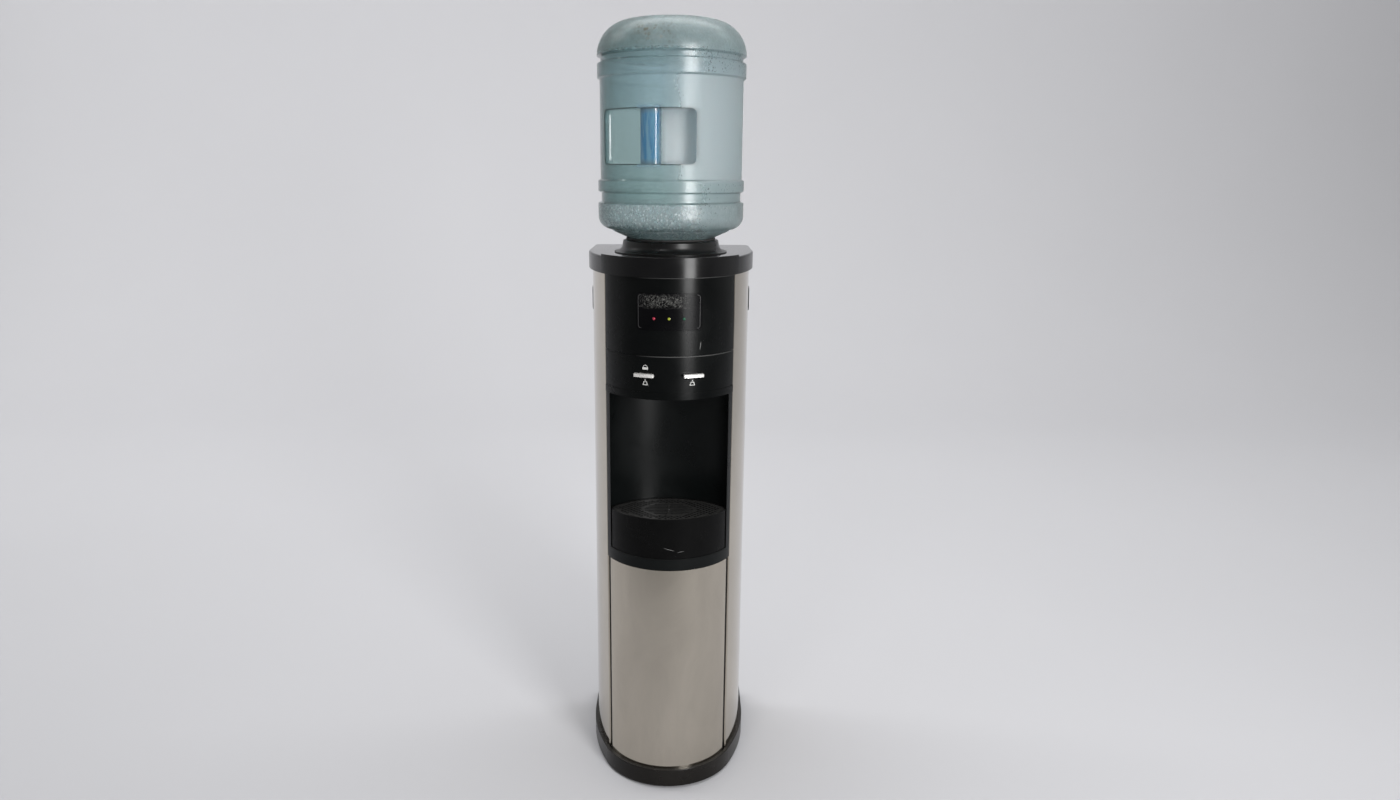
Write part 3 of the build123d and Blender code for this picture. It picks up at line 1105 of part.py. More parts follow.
with BuildPart() as cold_tank:
    add(rounded_can(TANK_Y, TANK_BOTTOM, COLD_TANK_RADIUS, COLD_TANK_HEIGHT, TANK_ROUND))
    with BuildSketch(Plane.XY.offset(SHELF_Z + SHELF_SHEET + GAP)):
        with Locations((FEED_X, HOT_TANK_Y)):
            Circle(HOSE_RADIUS)
    extrude(amount=FOAM + TANK_ROUND)
    with BuildSketch(Plane.XY.offset(TANK_TOP - TANK_ROUND)):
        Circle(SPIKE_RADIUS + GAP + WALL)
    extrude(amount=TANK_ROUND + TANK_NECK - GAP)
    with BuildSketch(Plane.XZ.offset(-OUTLET_TIP)):
        with Locations((OUTLET_X, OUTLET_Z)):
            Circle(OUTLET_RADIUS)
    extrude(amount=-OUTLET_LENGTH - TANK_ROUND)
    cold_space = rounded_can(
        TANK_Y,
        TANK_BOTTOM + TANK_WALL,
        COLD_TANK_RADIUS - TANK_WALL,
        COLD_TANK_HEIGHT - 2 * TANK_WALL,
        TANK_ROUND - TANK_WALL,
    )
    add(cold_space, mode=Mode.SUBTRACT)
    with BuildSketch(Plane.XY.offset(SHELF_Z + SHELF_SHEET + GAP)):
        with Locations((FEED_X, HOT_TANK_Y)):
            Circle(HOSE_BORE)
    extrude(amount=FOAM + TANK_ROUND, mode=Mode.SUBTRACT)
    with BuildSketch(Plane.XY.offset(TANK_TOP - 2 * TANK_ROUND)):
        Circle(SPIKE_RADIUS + GAP)
    extrude(amount=3 * TANK_ROUND, mode=Mode.SUBTRACT)
    with BuildSketch(Plane.XZ.offset(-OUTLET_TIP)):
        with Locations((OUTLET_X, OUTLET_Z)):
            Circle(HOSE_BORE)
    extrude(amount=-OUTLET_LENGTH - TANK_ROUND, mode=Mode.SUBTRACT)
cold_tank.part.label = "cold_tank"

# Foam jacket: an open cup round the tank and its coil, with holes for the lines
COIL_BASE = OUTLET_Z + OUTLET_RADIUS + 2 * COIL_RADIUS
COIL_TOP = COIL_BASE + COIL_TURNS * COIL_PITCH
SUCTION_Y = COMPRESSOR_Y
CAPILLARY_Y = SUCTION_Y + 3 * LINE_RADIUS
with BuildPart() as tank_insulation:
    with BuildSketch(Plane.XY.offset(SHELF_Z + SHELF_SHEET)):
        with Locations((0, TANK_Y)):
            Circle(FOAM_OUTER)
    extrude(amount=TANK_TOP - TANK_ROUND - SHELF_Z - SHELF_SHEET)
    with BuildSketch(Plane.XY.offset(TANK_BOTTOM - GAP)):
        with Locations((0, TANK_Y)):
            Circle(FOAM_INNER)
    extrude(amount=COLD_TANK_HEIGHT, mode=Mode.SUBTRACT)
    with BuildSketch(Plane.XZ.offset(-OUTLET_TIP)):
        with Locations((OUTLET_X, OUTLET_Z)):
            Circle(OUTLET_RADIUS + GAP)
    extrude(amount=-OUTLET_LENGTH, mode=Mode.SUBTRACT)
    with BuildSketch(Plane.XY.offset(SHELF_Z)):
        with Locations((FEED_X, HOT_TANK_Y)):
            Circle(HOSE_RADIUS + 2 * GAP)
    extrude(amount=2 * FOAM, mode=Mode.SUBTRACT)
    with BuildSketch(Plane.YZ.offset(FOAM_INNER - FOAM / 2)):
        with Locations((SUCTION_Y, COIL_TOP), (CAPILLARY_Y, COIL_BASE)):
            Circle(LINE_RADIUS + GAP)
    extrude(amount=2 * FOAM, mode=Mode.SUBTRACT)
tank_insulation.part.label = "tank_insulation"

# Evaporator: copper tube wound on the cold tank above its outlet
evaporator_coil = winding((0, TANK_Y), COIL_RING, COIL_BASE, COIL_PITCH, COIL_TURNS, COIL_RADIUS)
evaporator_coil.label = "evaporator_coil"

# Sheet-metal shelf across the cabinet under the cold tank
SHELF_FRONT = NICHE_BACK + 2 * WALL
SHELF_HALF = HALF_WIDTH - SHEET - GAP
SHELF_LIP = 16.0
LINE_HOLE = 9.0
SIDE_RUN_Y = (SUCTION_Y + CAPILLARY_Y) / 2
FLANK_AT_SHELF = FLANK_X + sqrt((FLANK_RADIUS - SHEET - GAP) ** 2 - (SHELF_FRONT - FLANK_Y) ** 2)
with BuildPart() as tank_shelf:
    with BuildSketch(Plane.XY.offset(SHELF_Z)):
        with BuildLine():
            Polyline(
                (-FLANK_AT_SHELF, SHELF_FRONT),
                (FLANK_AT_SHELF, SHELF_FRONT),
                (SHELF_HALF, FLANK_Y),
                (SHELF_HALF, SHELF_BACK),
                (-SHELF_HALF, SHELF_BACK),
                (-SHELF_HALF, FLANK_Y),
                close=True,
            )
        make_face()
        with Locations((-CABLE_SIDE_X, SIDE_RUN_Y), (CABLE_SIDE_X, SIDE_RUN_Y)):
            Circle(LINE_HOLE, mode=Mode.SUBTRACT)
        with Locations((FEED_X, HOT_TANK_Y)):
            Circle(HOSE_RADIUS + 2 * GAP, mode=Mode.SUBTRACT)
    extrude(amount=SHELF_SHEET)
    with BuildSketch(Plane.XY.offset(SHELF_Z - SHELF_LIP)):
        with Locations((0, SHELF_BACK - SHELF_SHEET / 2)):
            Rectangle(2 * SHELF_HALF, SHELF_SHEET)
        with Locations((0, SHELF_FRONT + SHELF_SHEET / 2)):
            Rectangle(FLANK_AT_SHELF, SHELF_SHEET)
    extrude(amount=SHELF_LIP)
tank_shelf.part.label = "tank_shelf"

# Hot tank on a bracket behind the alcove
HOT_TOP = SHELF_Z - HOT_TANK_DROP
HOT_BOTTOM = HOT_TOP - HOT_TANK_HEIGHT
HOT_OUTLET_X = -25.0
STUB = 8.0
with BuildPart() as hot_tank:
    add(rounded_can(HOT_TANK_Y, HOT_BOTTOM, HOT_TANK_RADIUS, HOT_TANK_HEIGHT, TANK_ROUND))
    with BuildSketch(Plane.XY.offset(HOT_TOP - TANK_ROUND)):
        with Locations((HOT_OUTLET_X, HOT_TANK_Y), (FEED_X, HOT_TANK_Y)):
            Circle(HOSE_RADIUS)
    extrude(amount=TANK_ROUND + STUB)
    with BuildSketch(Plane.XY.offset(HOT_BOTTOM - STUB)):
        with Locations((0, HOT_TANK_Y)):
            Circle(HOSE_RADIUS)
    extrude(amount=TANK_ROUND + STUB)
    hot_space = rounded_can(
        HOT_TANK_Y,
        HOT_BOTTOM + TANK_WALL,
        HOT_TANK_RADIUS - TANK_WALL,
        HOT_TANK_HEIGHT - 2 * TANK_WALL,
        TANK_ROUND - TANK_WALL,
    )
    add(hot_space, mode=Mode.SUBTRACT)
    with BuildSketch(Plane.XY.offset(HOT_BOTTOM - STUB)):
        with Locations((0, HOT_TANK_Y)):
            Circle(HOSE_BORE)
    extrude(amount=STUB + TANK_ROUND, mode=Mode.SUBTRACT)
    with BuildSketch(Plane.XY.offset(HOT_TOP - TANK_ROUND)):
        with Locations((HOT_OUTLET_X, HOT_TANK_Y), (FEED_X, HOT_TANK_Y)):
            Circle(HOSE_BORE)
    extrude(amount=STUB + TANK_ROUND, mode=Mode.SUBTRACT)
hot_tank.part.label = "hot_tank"

# Band heater clamped round the hot tank
BAND_HEIGHT = 32.0
BAND_RISE = 30.0
BAND_THICKNESS = 3.0
BAND_GAP = 9.0
with BuildPart() as heater_band:
    with BuildSketch(Plane.XY.offset(HOT_BOTTOM + BAND_RISE)):
        with Locations((0, HOT_TANK_Y)):
            Circle(HOT_TANK_RADIUS + GAP + BAND_THICKNESS)
        with Locations((0, HOT_TANK_Y - HOT_TANK_RADIUS)):
            Rectangle(BAND_GAP + 2 * BAND_THICKNESS, 4 * BAND_GAP)
        with Locations((0, HOT_TANK_Y)):
            Circle(HOT_TANK_RADIUS + GAP, mode=Mode.SUBTRACT)
        with Locations((0, HOT_TANK_Y - HOT_TANK_RADIUS)):
            Rectangle(BAND_GAP, 5 * BAND_GAP, mode=Mode.SUBTRACT)
    extrude(amount=BAND_HEIGHT)
heater_band.part.label = "heater_band"

# Two disc thermostats on the hot tank's wall
THERMOSTAT_RADIUS = 8.0
THERMOSTAT_DEPTH = 9.0
THERMOSTAT_Z = HOT_BOTTOM + BAND_RISE + BAND_HEIGHT + 2 * THERMOSTAT_RADIUS
with BuildPart() as tank_thermostats:
    for side in (-1, 1):
        with BuildSketch(Plane.YZ.offset(side * (HOT_TANK_RADIUS + GAP))):
            with Locations((HOT_TANK_Y, THERMOSTAT_Z)):
                Circle(THERMOSTAT_RADIUS)
        extrude(amount=side * THERMOSTAT_DEPTH)
tank_thermostats.part.label = "tank_thermostats"

# Bracket from the back panel that carries the hot tank
BRACKET_HALF = 40.0
BRACKET_LIP = 60.0
with BuildPart() as hot_tank_bracket:
    with BuildSketch(Plane.XY.offset(HOT_BOTTOM - GAP - SHELF_SHEET)):
        with Locations((0, (HOT_TANK_Y - HOT_TANK_RADIUS + SHELF_BACK) / 2)):
            Rectangle(2 * BRACKET_HALF, SHELF_BACK - HOT_TANK_Y + HOT_TANK_RADIUS)
        with Locations((0, HOT_TANK_Y)):
            Circle(HOSE_RADIUS + 2 * GAP, mode=Mode.SUBTRACT)
    extrude(amount=SHELF_SHEET)
    with BuildSketch(Plane.XZ.offset(-SHELF_BACK)):
        with Locations((0, HOT_BOTTOM - GAP - BRACKET_LIP / 2)):
            Rectangle(2 * BRACKET_HALF, BRACKET_LIP)
    extrude(amount=SHELF_SHEET)
hot_tank_bracket.part.label = "hot_tank_bracket"

# Water hoses: cold tank to cold valve, hot tank to hot valve, cold tank to hot tank, hot tank to drain
SPIGOT_END = VALVE_Y + VALVE_RADIUS + SPIGOT_REACH + GAP
HOT_HOSE_TURN = HOT_TOP + STUB + 2 * HOSE_BEND
DRAIN_TURN = HOT_BOTTOM - STUB - 2 * HOSE_BEND
DRAIN_INNER = BACK_FACE - SHEET - 16.0
SIDE_TOP = SPIGOT_Z + 30.0
FRONT_RUN_Y = SPIGOT_END + 2 * HOSE_BEND
with BuildPart() as water_hoses:
    add(
        tube(
            [
                (TAP_X, SPIGOT_END, SPIGOT_Z),
                (TAP_X, (SPIGOT_END + OUTLET_TIP) / 2, SPIGOT_Z),
                (OUTLET_X, (SPIGOT_END + OUTLET_TIP) / 2 + HOSE_BEND / 2, SPIGOT_Z),
                (OUTLET_X, OUTLET_TIP - GAP, SPIGOT_Z),
            ],
            HOSE_RADIUS,
            HOSE_BORE,
            HOSE_BEND * 0.6,
        )
    )
    add(
        tube(
            [
                (-TAP_X, SPIGOT_END, SPIGOT_Z),
                (-TAP_X, FRONT_RUN_Y, SPIGOT_Z),
                (-CABLE_SIDE_X, FRONT_RUN_Y, SIDE_TOP),
                (-CABLE_SIDE_X, SIDE_RUN_Y, SIDE_TOP),
                (-CABLE_SIDE_X, SIDE_RUN_Y, HOT_HOSE_TURN),
                (HOT_OUTLET_X, HOT_TANK_Y, HOT_HOSE_TURN),
                (HOT_OUTLET_X, HOT_TANK_Y, HOT_TOP + STUB + GAP),
            ],
            HOSE_RADIUS,
            HOSE_BORE,
            HOSE_BEND * 0.8,
        )
    )
    with BuildSketch(Plane.XY.offset(HOT_TOP + STUB + GAP)):
        with Locations((FEED_X, HOT_TANK_Y)):
            Circle(HOSE_RADIUS)
            Circle(HOSE_BORE, mode=Mode.SUBTRACT)
    extrude(amount=SHELF_Z + SHELF_SHEET - GAP - HOT_TOP - STUB - GAP)
    add(
        tube(
            [
                (0, HOT_TANK_Y, HOT_BOTTOM - STUB - GAP),
                (0, HOT_TANK_Y, DRAIN_TURN),
                (DRAIN_X, HOT_TANK_Y, DRAIN_TURN),
                (DRAIN_X, HOT_TANK_Y, DRAIN_Z),
                (DRAIN_X, DRAIN_INNER - GAP, DRAIN_Z),
            ],
            HOSE_RADIUS,
            HOSE_BORE,
            HOSE_BEND,
        )
    )
water_hoses.part.label = "water_hoses"

# Drain fitting through the back panel, and its screw cap
FITTING_RADIUS = 9.5
FITTING_FLANGE = 14.0
FITTING_REACH = 12.0
CAP_END = 3.0
with BuildPart() as drain_fitting:
    with BuildSketch(Plane.XZ.offset(-BACK_FACE)):
        with Locations((DRAIN_X, DRAIN_Z)):
            Circle(FITTING_FLANGE)
    extrude(amount=-2)
    with BuildSketch(Plane.XZ.offset(-BACK_FACE)):
        with Locations((DRAIN_X, DRAIN_Z)):
            Circle(FITTING_RADIUS)
    extrude(amount=-FITTING_REACH)
    with BuildSketch(Plane.XZ.offset(-DRAIN_INNER)):
        with Locations((DRAIN_X, DRAIN_Z)):
            Circle(HOSE_RADIUS)
    extrude(amount=DRAIN_INNER - BACK_FACE)
    with BuildSketch(Plane.XZ.offset(-DRAIN_INNER)):
        with Locations((DRAIN_X, DRAIN_Z)):
            Circle(HOSE_BORE)
    extrude(amount=DRAIN_INNER - BACK_FACE - FITTING_REACH, mode=Mode.SUBTRACT)
drain_fitting.part.label = "drain_fitting"

with BuildPart() as drain_cap:
    with BuildSketch(Plane.XZ.offset(-BACK_FACE - 2 - GAP)):
        with Locations((DRAIN_X, DRAIN_Z)):
            Circle(FITTING_RADIUS + GAP + WALL)
    extrude(amount=-FITTING_REACH - CAP_END)
    fillet(drain_cap.faces().sort_by(Axis.Y)[-1].edges(), CAP_END / 2)
    with BuildSketch(Plane.XZ.offset(-BACK_FACE - 2 - GAP)):
        with Locations((DRAIN_X, DRAIN_Z)):
            Circle(FITTING_RADIUS + GAP)
    extrude(amount=-FITTING_REACH + 2, mode=Mode.SUBTRACT)
drain_cap.part.label = "drain_cap"

# Compressor: welded dome on a foot plate, on four rubber grommets
FOOT_PLATE = 3.0
COMPRESSOR_FOOT = PLATE_TOP + GROMMET_HEIGHT
SHELL_BOTTOM = COMPRESSOR_FOOT + FOOT_PLATE
SHELL_TOP = SHELL_BOTTOM + COMPRESSOR_HEIGHT
WELD_RISE = 90.0
STUB_X = 36.0
DOME_ROUND = 34.0
with BuildPart() as compressor:
    with BuildSketch(Plane.XY.offset(COMPRESSOR_FOOT)):
        with Locations((0, COMPRESSOR_Y)):
            RectangleRounded(2 * (MOUNT_X + 14), 2 * (MOUNT_Y + 14), 12)
            with GridLocations(2 * MOUNT_X, 2 * MOUNT_Y, 2, 2):
                Circle(GROMMET_BORE, mode=Mode.SUBTRACT)
    extrude(amount=FOOT_PLATE)
    with BuildSketch(Plane.XY.offset(SHELL_BOTTOM)):
        with Locations((0, COMPRESSOR_Y)):
            Circle(COMPRESSOR_RADIUS - 4)
    extrude(amount=COMPRESSOR_HEIGHT)
    fillet(compressor.faces().sort_by(Axis.Z)[-1].edges(), DOME_ROUND)
    with BuildSketch(Plane.XY.offset(SHELL_BOTTOM + WELD_RISE)):
        with Locations((0, COMPRESSOR_Y)):
            Circle(COMPRESSOR_RADIUS)
    extrude(amount=WALL)
    with BuildSketch(Plane.XY.offset(SHELL_TOP - DOME_ROUND)):
        with Locations((STUB_X, COMPRESSOR_Y), (-STUB_X, COMPRESSOR_Y)):
            Circle(LINE_RADIUS + 2)
    extrude(amount=DOME_ROUND + STUB)
compressor.part.label = "compressor"

with BuildPart() as compressor_grommets:
    with BuildSketch(Plane.XY.offset(PLATE_TOP)):
        with Locations((0, COMPRESSOR_Y)):
            with GridLocations(2 * MOUNT_X, 2 * MOUNT_Y, 2, 2):
                Circle(3 * GROMMET_BORE)
                Circle(GROMMET_BORE, mode=Mode.SUBTRACT)
    extrude(amount=GROMMET_HEIGHT)
compressor_grommets.part.label = "compressor_grommets"

# Start relay box clipped on the compressor's side
RELAY_DEPTH = 24.0
RELAY_WIDTH = 46.0
RELAY_HEIGHT = 52.0
with BuildPart() as start_relay:
    with BuildSketch(Plane.XY.offset(SHELL_BOTTOM + WALL)):
        with Locations((COMPRESSOR_RADIUS - 4 + RELAY_DEPTH / 2, COMPRESSOR_Y)):
            RectangleRounded(RELAY_DEPTH, RELAY_WIDTH, FOLD)
        with Locations((0, COMPRESSOR_Y)):
            Circle(COMPRESSOR_RADIUS - 4 + GAP, mode=Mode.SUBTRACT)
    extrude(amount=RELAY_HEIGHT)
start_relay.part.label = "start_relay"

# Condenser: tube that runs to and fro behind the back panel, with wires across it
CONDENSER_Y = BACK_FACE + CONDENSER_STAND_OFF
CONDENSER_TOP = CONDENSER_BOTTOM + (CONDENSER_RUNS - 1) * CONDENSER_PITCH
CONDENSER_END = CONDENSER_HALF + 6.0
CONDENSER_ROUTE = [(CONDENSER_END, CONDENSER_Y, CONDENSER_BOTTOM)]
for run in range(CONDENSER_RUNS - 1):
    run_end = -CONDENSER_HALF if run % 2 == 0 else CONDENSER_HALF
    run_z = CONDENSER_BOTTOM + run * CONDENSER_PITCH
    CONDENSER_ROUTE.append((run_end, CONDENSER_Y, run_z))
    CONDENSER_ROUTE.append((run_end, CONDENSER_Y, run_z + CONDENSER_PITCH))
CONDENSER_ROUTE.append((CONDENSER_END, CONDENSER_Y, CONDENSER_TOP))
condenser_tube = tube(CONDENSER_ROUTE, CONDENSER_TUBE, 0, CONDENSER_PITCH / 2 - GAP)
condenser_tube.label = "condenser_tube"

WIRE_TAIL = 12.0
WIRE_SETBACK = CONDENSER_TUBE + WIRE_RADIUS + GAP / 2
with BuildPart() as condenser_wires:
    with BuildSketch(Plane.XY.offset(CONDENSER_BOTTOM - WIRE_TAIL)):
        with Locations((0, CONDENSER_Y - WIRE_SETBACK), (0, CONDENSER_Y + WIRE_SETBACK)):
            with GridLocations(WIRE_SPACING, 0, WIRE_COUNT, 1):
                RegularPolygon(WIRE_RADIUS, 6)
    extrude(amount=CONDENSER_TOP - CONDENSER_BOTTOM + 2 * WIRE_TAIL)
condenser_wires.part.label = "condenser_wires"

CLIP_X = (int((CONDENSER_HALF - CONDENSER_PITCH / 2) / WIRE_SPACING) - 0.5) * WIRE_SPACING
CLIP_WIDTH = 8.0
CLIP_HALF = 6.0
CLIP_END = CONDENSER_Y + CONDENSER_TUBE + WALL
CLIP_ROWS = [CONDENSER_BOTTOM + CONDENSER_PITCH, CONDENSER_TOP - CONDENSER_PITCH]
with BuildPart() as condenser_clips:
    with BuildSketch(Plane.XZ.offset(-BACK_FACE)):
        with Locations(*[(side * CLIP_X, row) for side in (-1, 1) for row in CLIP_ROWS]):
            Rectangle(CLIP_WIDTH, 2 * CLIP_HALF)
    extrude(amount=BACK_FACE - CLIP_END)
    for row in CLIP_ROWS:
        with BuildSketch(Plane.YZ.offset(-HALF_WIDTH)):
            with Locations((CONDENSER_Y, row)):
                Circle(CONDENSER_TUBE + GAP)
        extrude(amount=2 * HALF_WIDTH, mode=Mode.SUBTRACT)
condenser_clips.part.label = "condenser_clips"

# Refrigerant lines: compressor to condenser, condenser to drier, drier to coil, coil to compressor
LINE_X = CONDENSER_END + LINE_BEND
CAPILLARY_RADIUS = 1.5
TIGHT_BEND = LINE_BEND * 0.8
DRIER_Y = BACK_FACE - 30.0
DRIER_TOP = CONDENSER_TOP - 3 * LINE_BEND
DRIER_BOTTOM = DRIER_TOP - DRIER_LENGTH
CAPILLARY_TURN = DRIER_BOTTOM - 2 * LINE_BEND
SUCTION_TURN = CONDENSER_BOTTOM + 40.0
STUB_TOP = SHELL_TOP + STUB + GAP
with BuildPart() as refrigerant_lines:
    add(
        tube(
            [
                (STUB_X, COMPRESSOR_Y, STUB_TOP),
                (STUB_X, COMPRESSOR_Y, CONDENSER_BOTTOM),
                (LINE_X, COMPRESSOR_Y, CONDENSER_BOTTOM),
                (LINE_X, CONDENSER_Y, CONDENSER_BOTTOM),
                (CONDENSER_END + GAP, CONDENSER_Y, CONDENSER_BOTTOM),
            ],
            CONDENSER_TUBE,
            0,
            TIGHT_BEND,
        )
    )
    add(
        tube(
            [
                (CONDENSER_END + GAP, CONDENSER_Y, CONDENSER_TOP),
                (LINE_X, CONDENSER_Y, CONDENSER_TOP),
                (LINE_X, DRIER_Y, CONDENSER_TOP),
                (LINE_X, DRIER_Y, DRIER_TOP + GAP),
            ],
            CONDENSER_TUBE,
            0,
            TIGHT_BEND,
        )
    )
    add(
        tube(
            [
                (LINE_X, DRIER_Y, DRIER_BOTTOM - GAP),
                (LINE_X, DRIER_Y, CAPILLARY_TURN),
                (CABLE_SIDE_X, CAPILLARY_Y, CAPILLARY_TURN),
                (CABLE_SIDE_X, CAPILLARY_Y, COIL_BASE),
                (FOAM_INNER, CAPILLARY_Y, COIL_BASE),
            ],
            CAPILLARY_RADIUS,
            0,
            TIGHT_BEND,
        )
    )
    add(
        tube(
            [
                (FOAM_INNER, SUCTION_Y, COIL_TOP),
                (CABLE_SIDE_X, SUCTION_Y, COIL_TOP),
                (CABLE_SIDE_X, SUCTION_Y, SUCTION_TURN),
                (-STUB_X, COMPRESSOR_Y, SUCTION_TURN),
                (-STUB_X, COMPRESSOR_Y, STUB_TOP),
            ],
            LINE_RADIUS,
            0,
            LINE_BEND,
        )
    )
refrigerant_lines.part.label = "refrigerant_lines"

# Filter drier in the liquid line
with BuildPart() as filter_drier:
    with BuildSketch(Plane.XY.offset(DRIER_BOTTOM)):
        with Locations((LINE_X, DRIER_Y)):
            Circle(DRIER_RADIUS)
    extrude(amount=DRIER_LENGTH)
    chamfer(filter_drier.edges().filter_by(GeomType.CIRCLE), DRIER_RADIUS / 2)
filter_drier.part.label = "filter_drier"

# Switch bezel: frame for two rockers in the back panel
ROCKER_SPACING = 19.0
ROCKER_GAP = 0.5
ROCKER_FACE = 4.5
ROCKER_KEEL = 4.0
ROCKER_PIVOT_Y = BACK_FACE - 3.0
TRUNNION_RADIUS = 1.5
TRUNNION = 1.5
BEZEL_MARGIN = 5.0
BEZEL_DEPTH = 14.0
BEZEL_FLANGE = 2.5
BEZEL_WIDTH = ROCKER_SPACING + ROCKER_WIDTH + 2 * BEZEL_MARGIN
BEZEL_HEIGHT = ROCKER_HEIGHT + 2 * BEZEL_MARGIN
with BuildPart() as switch_bezel:
    with BuildSketch(Plane.XZ.offset(-BACK_FACE)):
        with Locations((SWITCH_X, SWITCH_Z)):
            RectangleRounded(BEZEL_WIDTH + 2 * BEZEL_FLANGE, BEZEL_HEIGHT + 2 * BEZEL_FLANGE, BEZEL_FLANGE)
    extrude(amount=-BEZEL_FLANGE)
    with BuildSketch(Plane.XZ.offset(-BACK_FACE)):
        with Locations((SWITCH_X, SWITCH_Z)):
            Rectangle(BEZEL_WIDTH, BEZEL_HEIGHT)
    extrude(amount=BEZEL_DEPTH)
    with BuildSketch(Plane.XZ.offset(BEZEL_DEPTH - BACK_FACE)):
        with Locations((SWITCH_X, SWITCH_Z)):
            with GridLocations(ROCKER_SPACING, 0, 2, 1):
                Rectangle(ROCKER_WIDTH + 2 * ROCKER_GAP, ROCKER_HEIGHT + 4 * ROCKER_GAP)
    extrude(amount=-BEZEL_DEPTH - BEZEL_FLANGE, mode=Mode.SUBTRACT)
    for side in (-1, 1):
        pin_start = SWITCH_X + side * ROCKER_SPACING / 2 - ROCKER_WIDTH / 2 - TRUNNION - GAP
        with BuildSketch(Plane.YZ.offset(pin_start)):
            with Locations((ROCKER_PIVOT_Y, SWITCH_Z)):
                Circle(TRUNNION_RADIUS + PIN_SLIP)
        extrude(amount=ROCKER_WIDTH + 2 * (TRUNNION + GAP), mode=Mode.SUBTRACT)
switch_bezel.part.label = "switch_bezel"


def rocker_point(out, up):
    """Point of a rocker's section, turned about its pivot to the resting tilt."""
    tilt = radians(ROCKER_TILT)
    return (ROCKER_PIVOT_Y + out * cos(tilt) - up * sin(tilt), SWITCH_Z + out * sin(tilt) + up * cos(tilt))


def rocker(x):
    """Rocker with a shallow V face, on two short pins."""
    half = ROCKER_HEIGHT / 2
    end = ROCKER_FACE + half * tan(radians(ROCKER_TILT))
    with BuildPart() as key:
        with BuildSketch(Plane.YZ.offset(x - ROCKER_WIDTH / 2)):
            with BuildLine():
                Polyline(
                    rocker_point(ROCKER_FACE, 0),
                    rocker_point(end, half),
                    rocker_point(0, half),
                    rocker_point(-ROCKER_KEEL, 0),
                    rocker_point(0, -half),
                    rocker_point(end, -half),
                    close=True,
                )
            make_face()
        extrude(amount=ROCKER_WIDTH)
        with BuildSketch(Plane.YZ.offset(x - ROCKER_WIDTH / 2 - TRUNNION)):
            with Locations((ROCKER_PIVOT_Y, SWITCH_Z)):
                Circle(TRUNNION_RADIUS)
        extrude(amount=ROCKER_WIDTH + 2 * TRUNNION)
    return key.part


heater_switch = rocker(SWITCH_X - ROCKER_SPACING / 2)
heater_switch.label = "heater_switch"
cooler_switch = rocker(SWITCH_X + ROCKER_SPACING / 2)
cooler_switch.label = "cooler_switch"

# Cord gland in the back panel
GLAND_RADIUS = 8.0
GLAND_FLANGE = 11.0
GLAND_BORE = 3.8
GLAND_REACH = 10.0
GLAND_NECK = 6.5
GLAND_INSIDE = 6.0
with BuildPart() as cord_gland:
    with BuildSketch(Plane.XZ.offset(-BACK_FACE)):
        with Locations((GLAND_X, GLAND_Z)):
            Circle(GLAND_FLANGE)
    extrude(amount=-WALL)
    with BuildSketch(Plane.XZ.offset(-BACK_FACE)):
        with Locations((GLAND_X, GLAND_Z)):
            Circle(GLAND_RADIUS)
    extrude(amount=-GLAND_REACH)
    with BuildSketch(Plane.XZ.offset(-BACK_FACE)):
        with Locations((GLAND_X, GLAND_Z)):
            Circle(GLAND_NECK)
    extrude(amount=GLAND_INSIDE)
    with BuildSketch(Plane.XZ.offset(GLAND_INSIDE - BACK_FACE)):
        with Locations((GLAND_X, GLAND_Z)):
            Circle(GLAND_BORE)
    extrude(amount=-GLAND_INSIDE - GLAND_REACH, mode=Mode.SUBTRACT)
cord_gland.part.label = "cord_gland"

# Back panel with vents and holes for the lines, switches, drain and cord
VENT_LENGTH = 40.0
VENT_WIDTH = 5.0
VENT_PITCH = 14.0
LOW_VENT_Z = 118.0
HIGH_VENT_Z = 850.0
with BuildPart() as back_panel:
    with BuildSketch(Plane.XZ.offset(-BACK_FACE)):
        with Locations((0, (PANEL_FOOT + PANEL_TOP) / 2)):
            Rectangle(2 * (HALF_WIDTH - FOLD - GAP), PANEL_TOP - PANEL_FOOT)
        with Locations((0, LOW_VENT_Z)):
            with GridLocations(VENT_LENGTH + VENT_PITCH, VENT_PITCH, 3, 7):
                SlotOverall(VENT_LENGTH, VENT_WIDTH, mode=Mode.SUBTRACT)
        with Locations((0, HIGH_VENT_Z)):
            with GridLocations(VENT_LENGTH + VENT_PITCH, VENT_PITCH, 2, 5):
                SlotOverall(VENT_LENGTH, VENT_WIDTH, mode=Mode.SUBTRACT)
        with Locations((LINE_X, CONDENSER_BOTTOM), (LINE_X, CONDENSER_TOP)):
            Circle(2 * CONDENSER_TUBE, mode=Mode.SUBTRACT)
        with Locations((DRAIN_X, DRAIN_Z)):
            Circle(HOSE_RADIUS + GAP, mode=Mode.SUBTRACT)
        with Locations((GLAND_X, GLAND_Z)):
            Circle(GLAND_NECK + GAP, mode=Mode.SUBTRACT)
        with Locations((SWITCH_X, SWITCH_Z)):
            Rectangle(BEZEL_WIDTH + 2 * GAP, BEZEL_HEIGHT + 2 * GAP, mode=Mode.SUBTRACT)
    extrude(amount=SHEET)
back_panel.part.label = "back_panel"

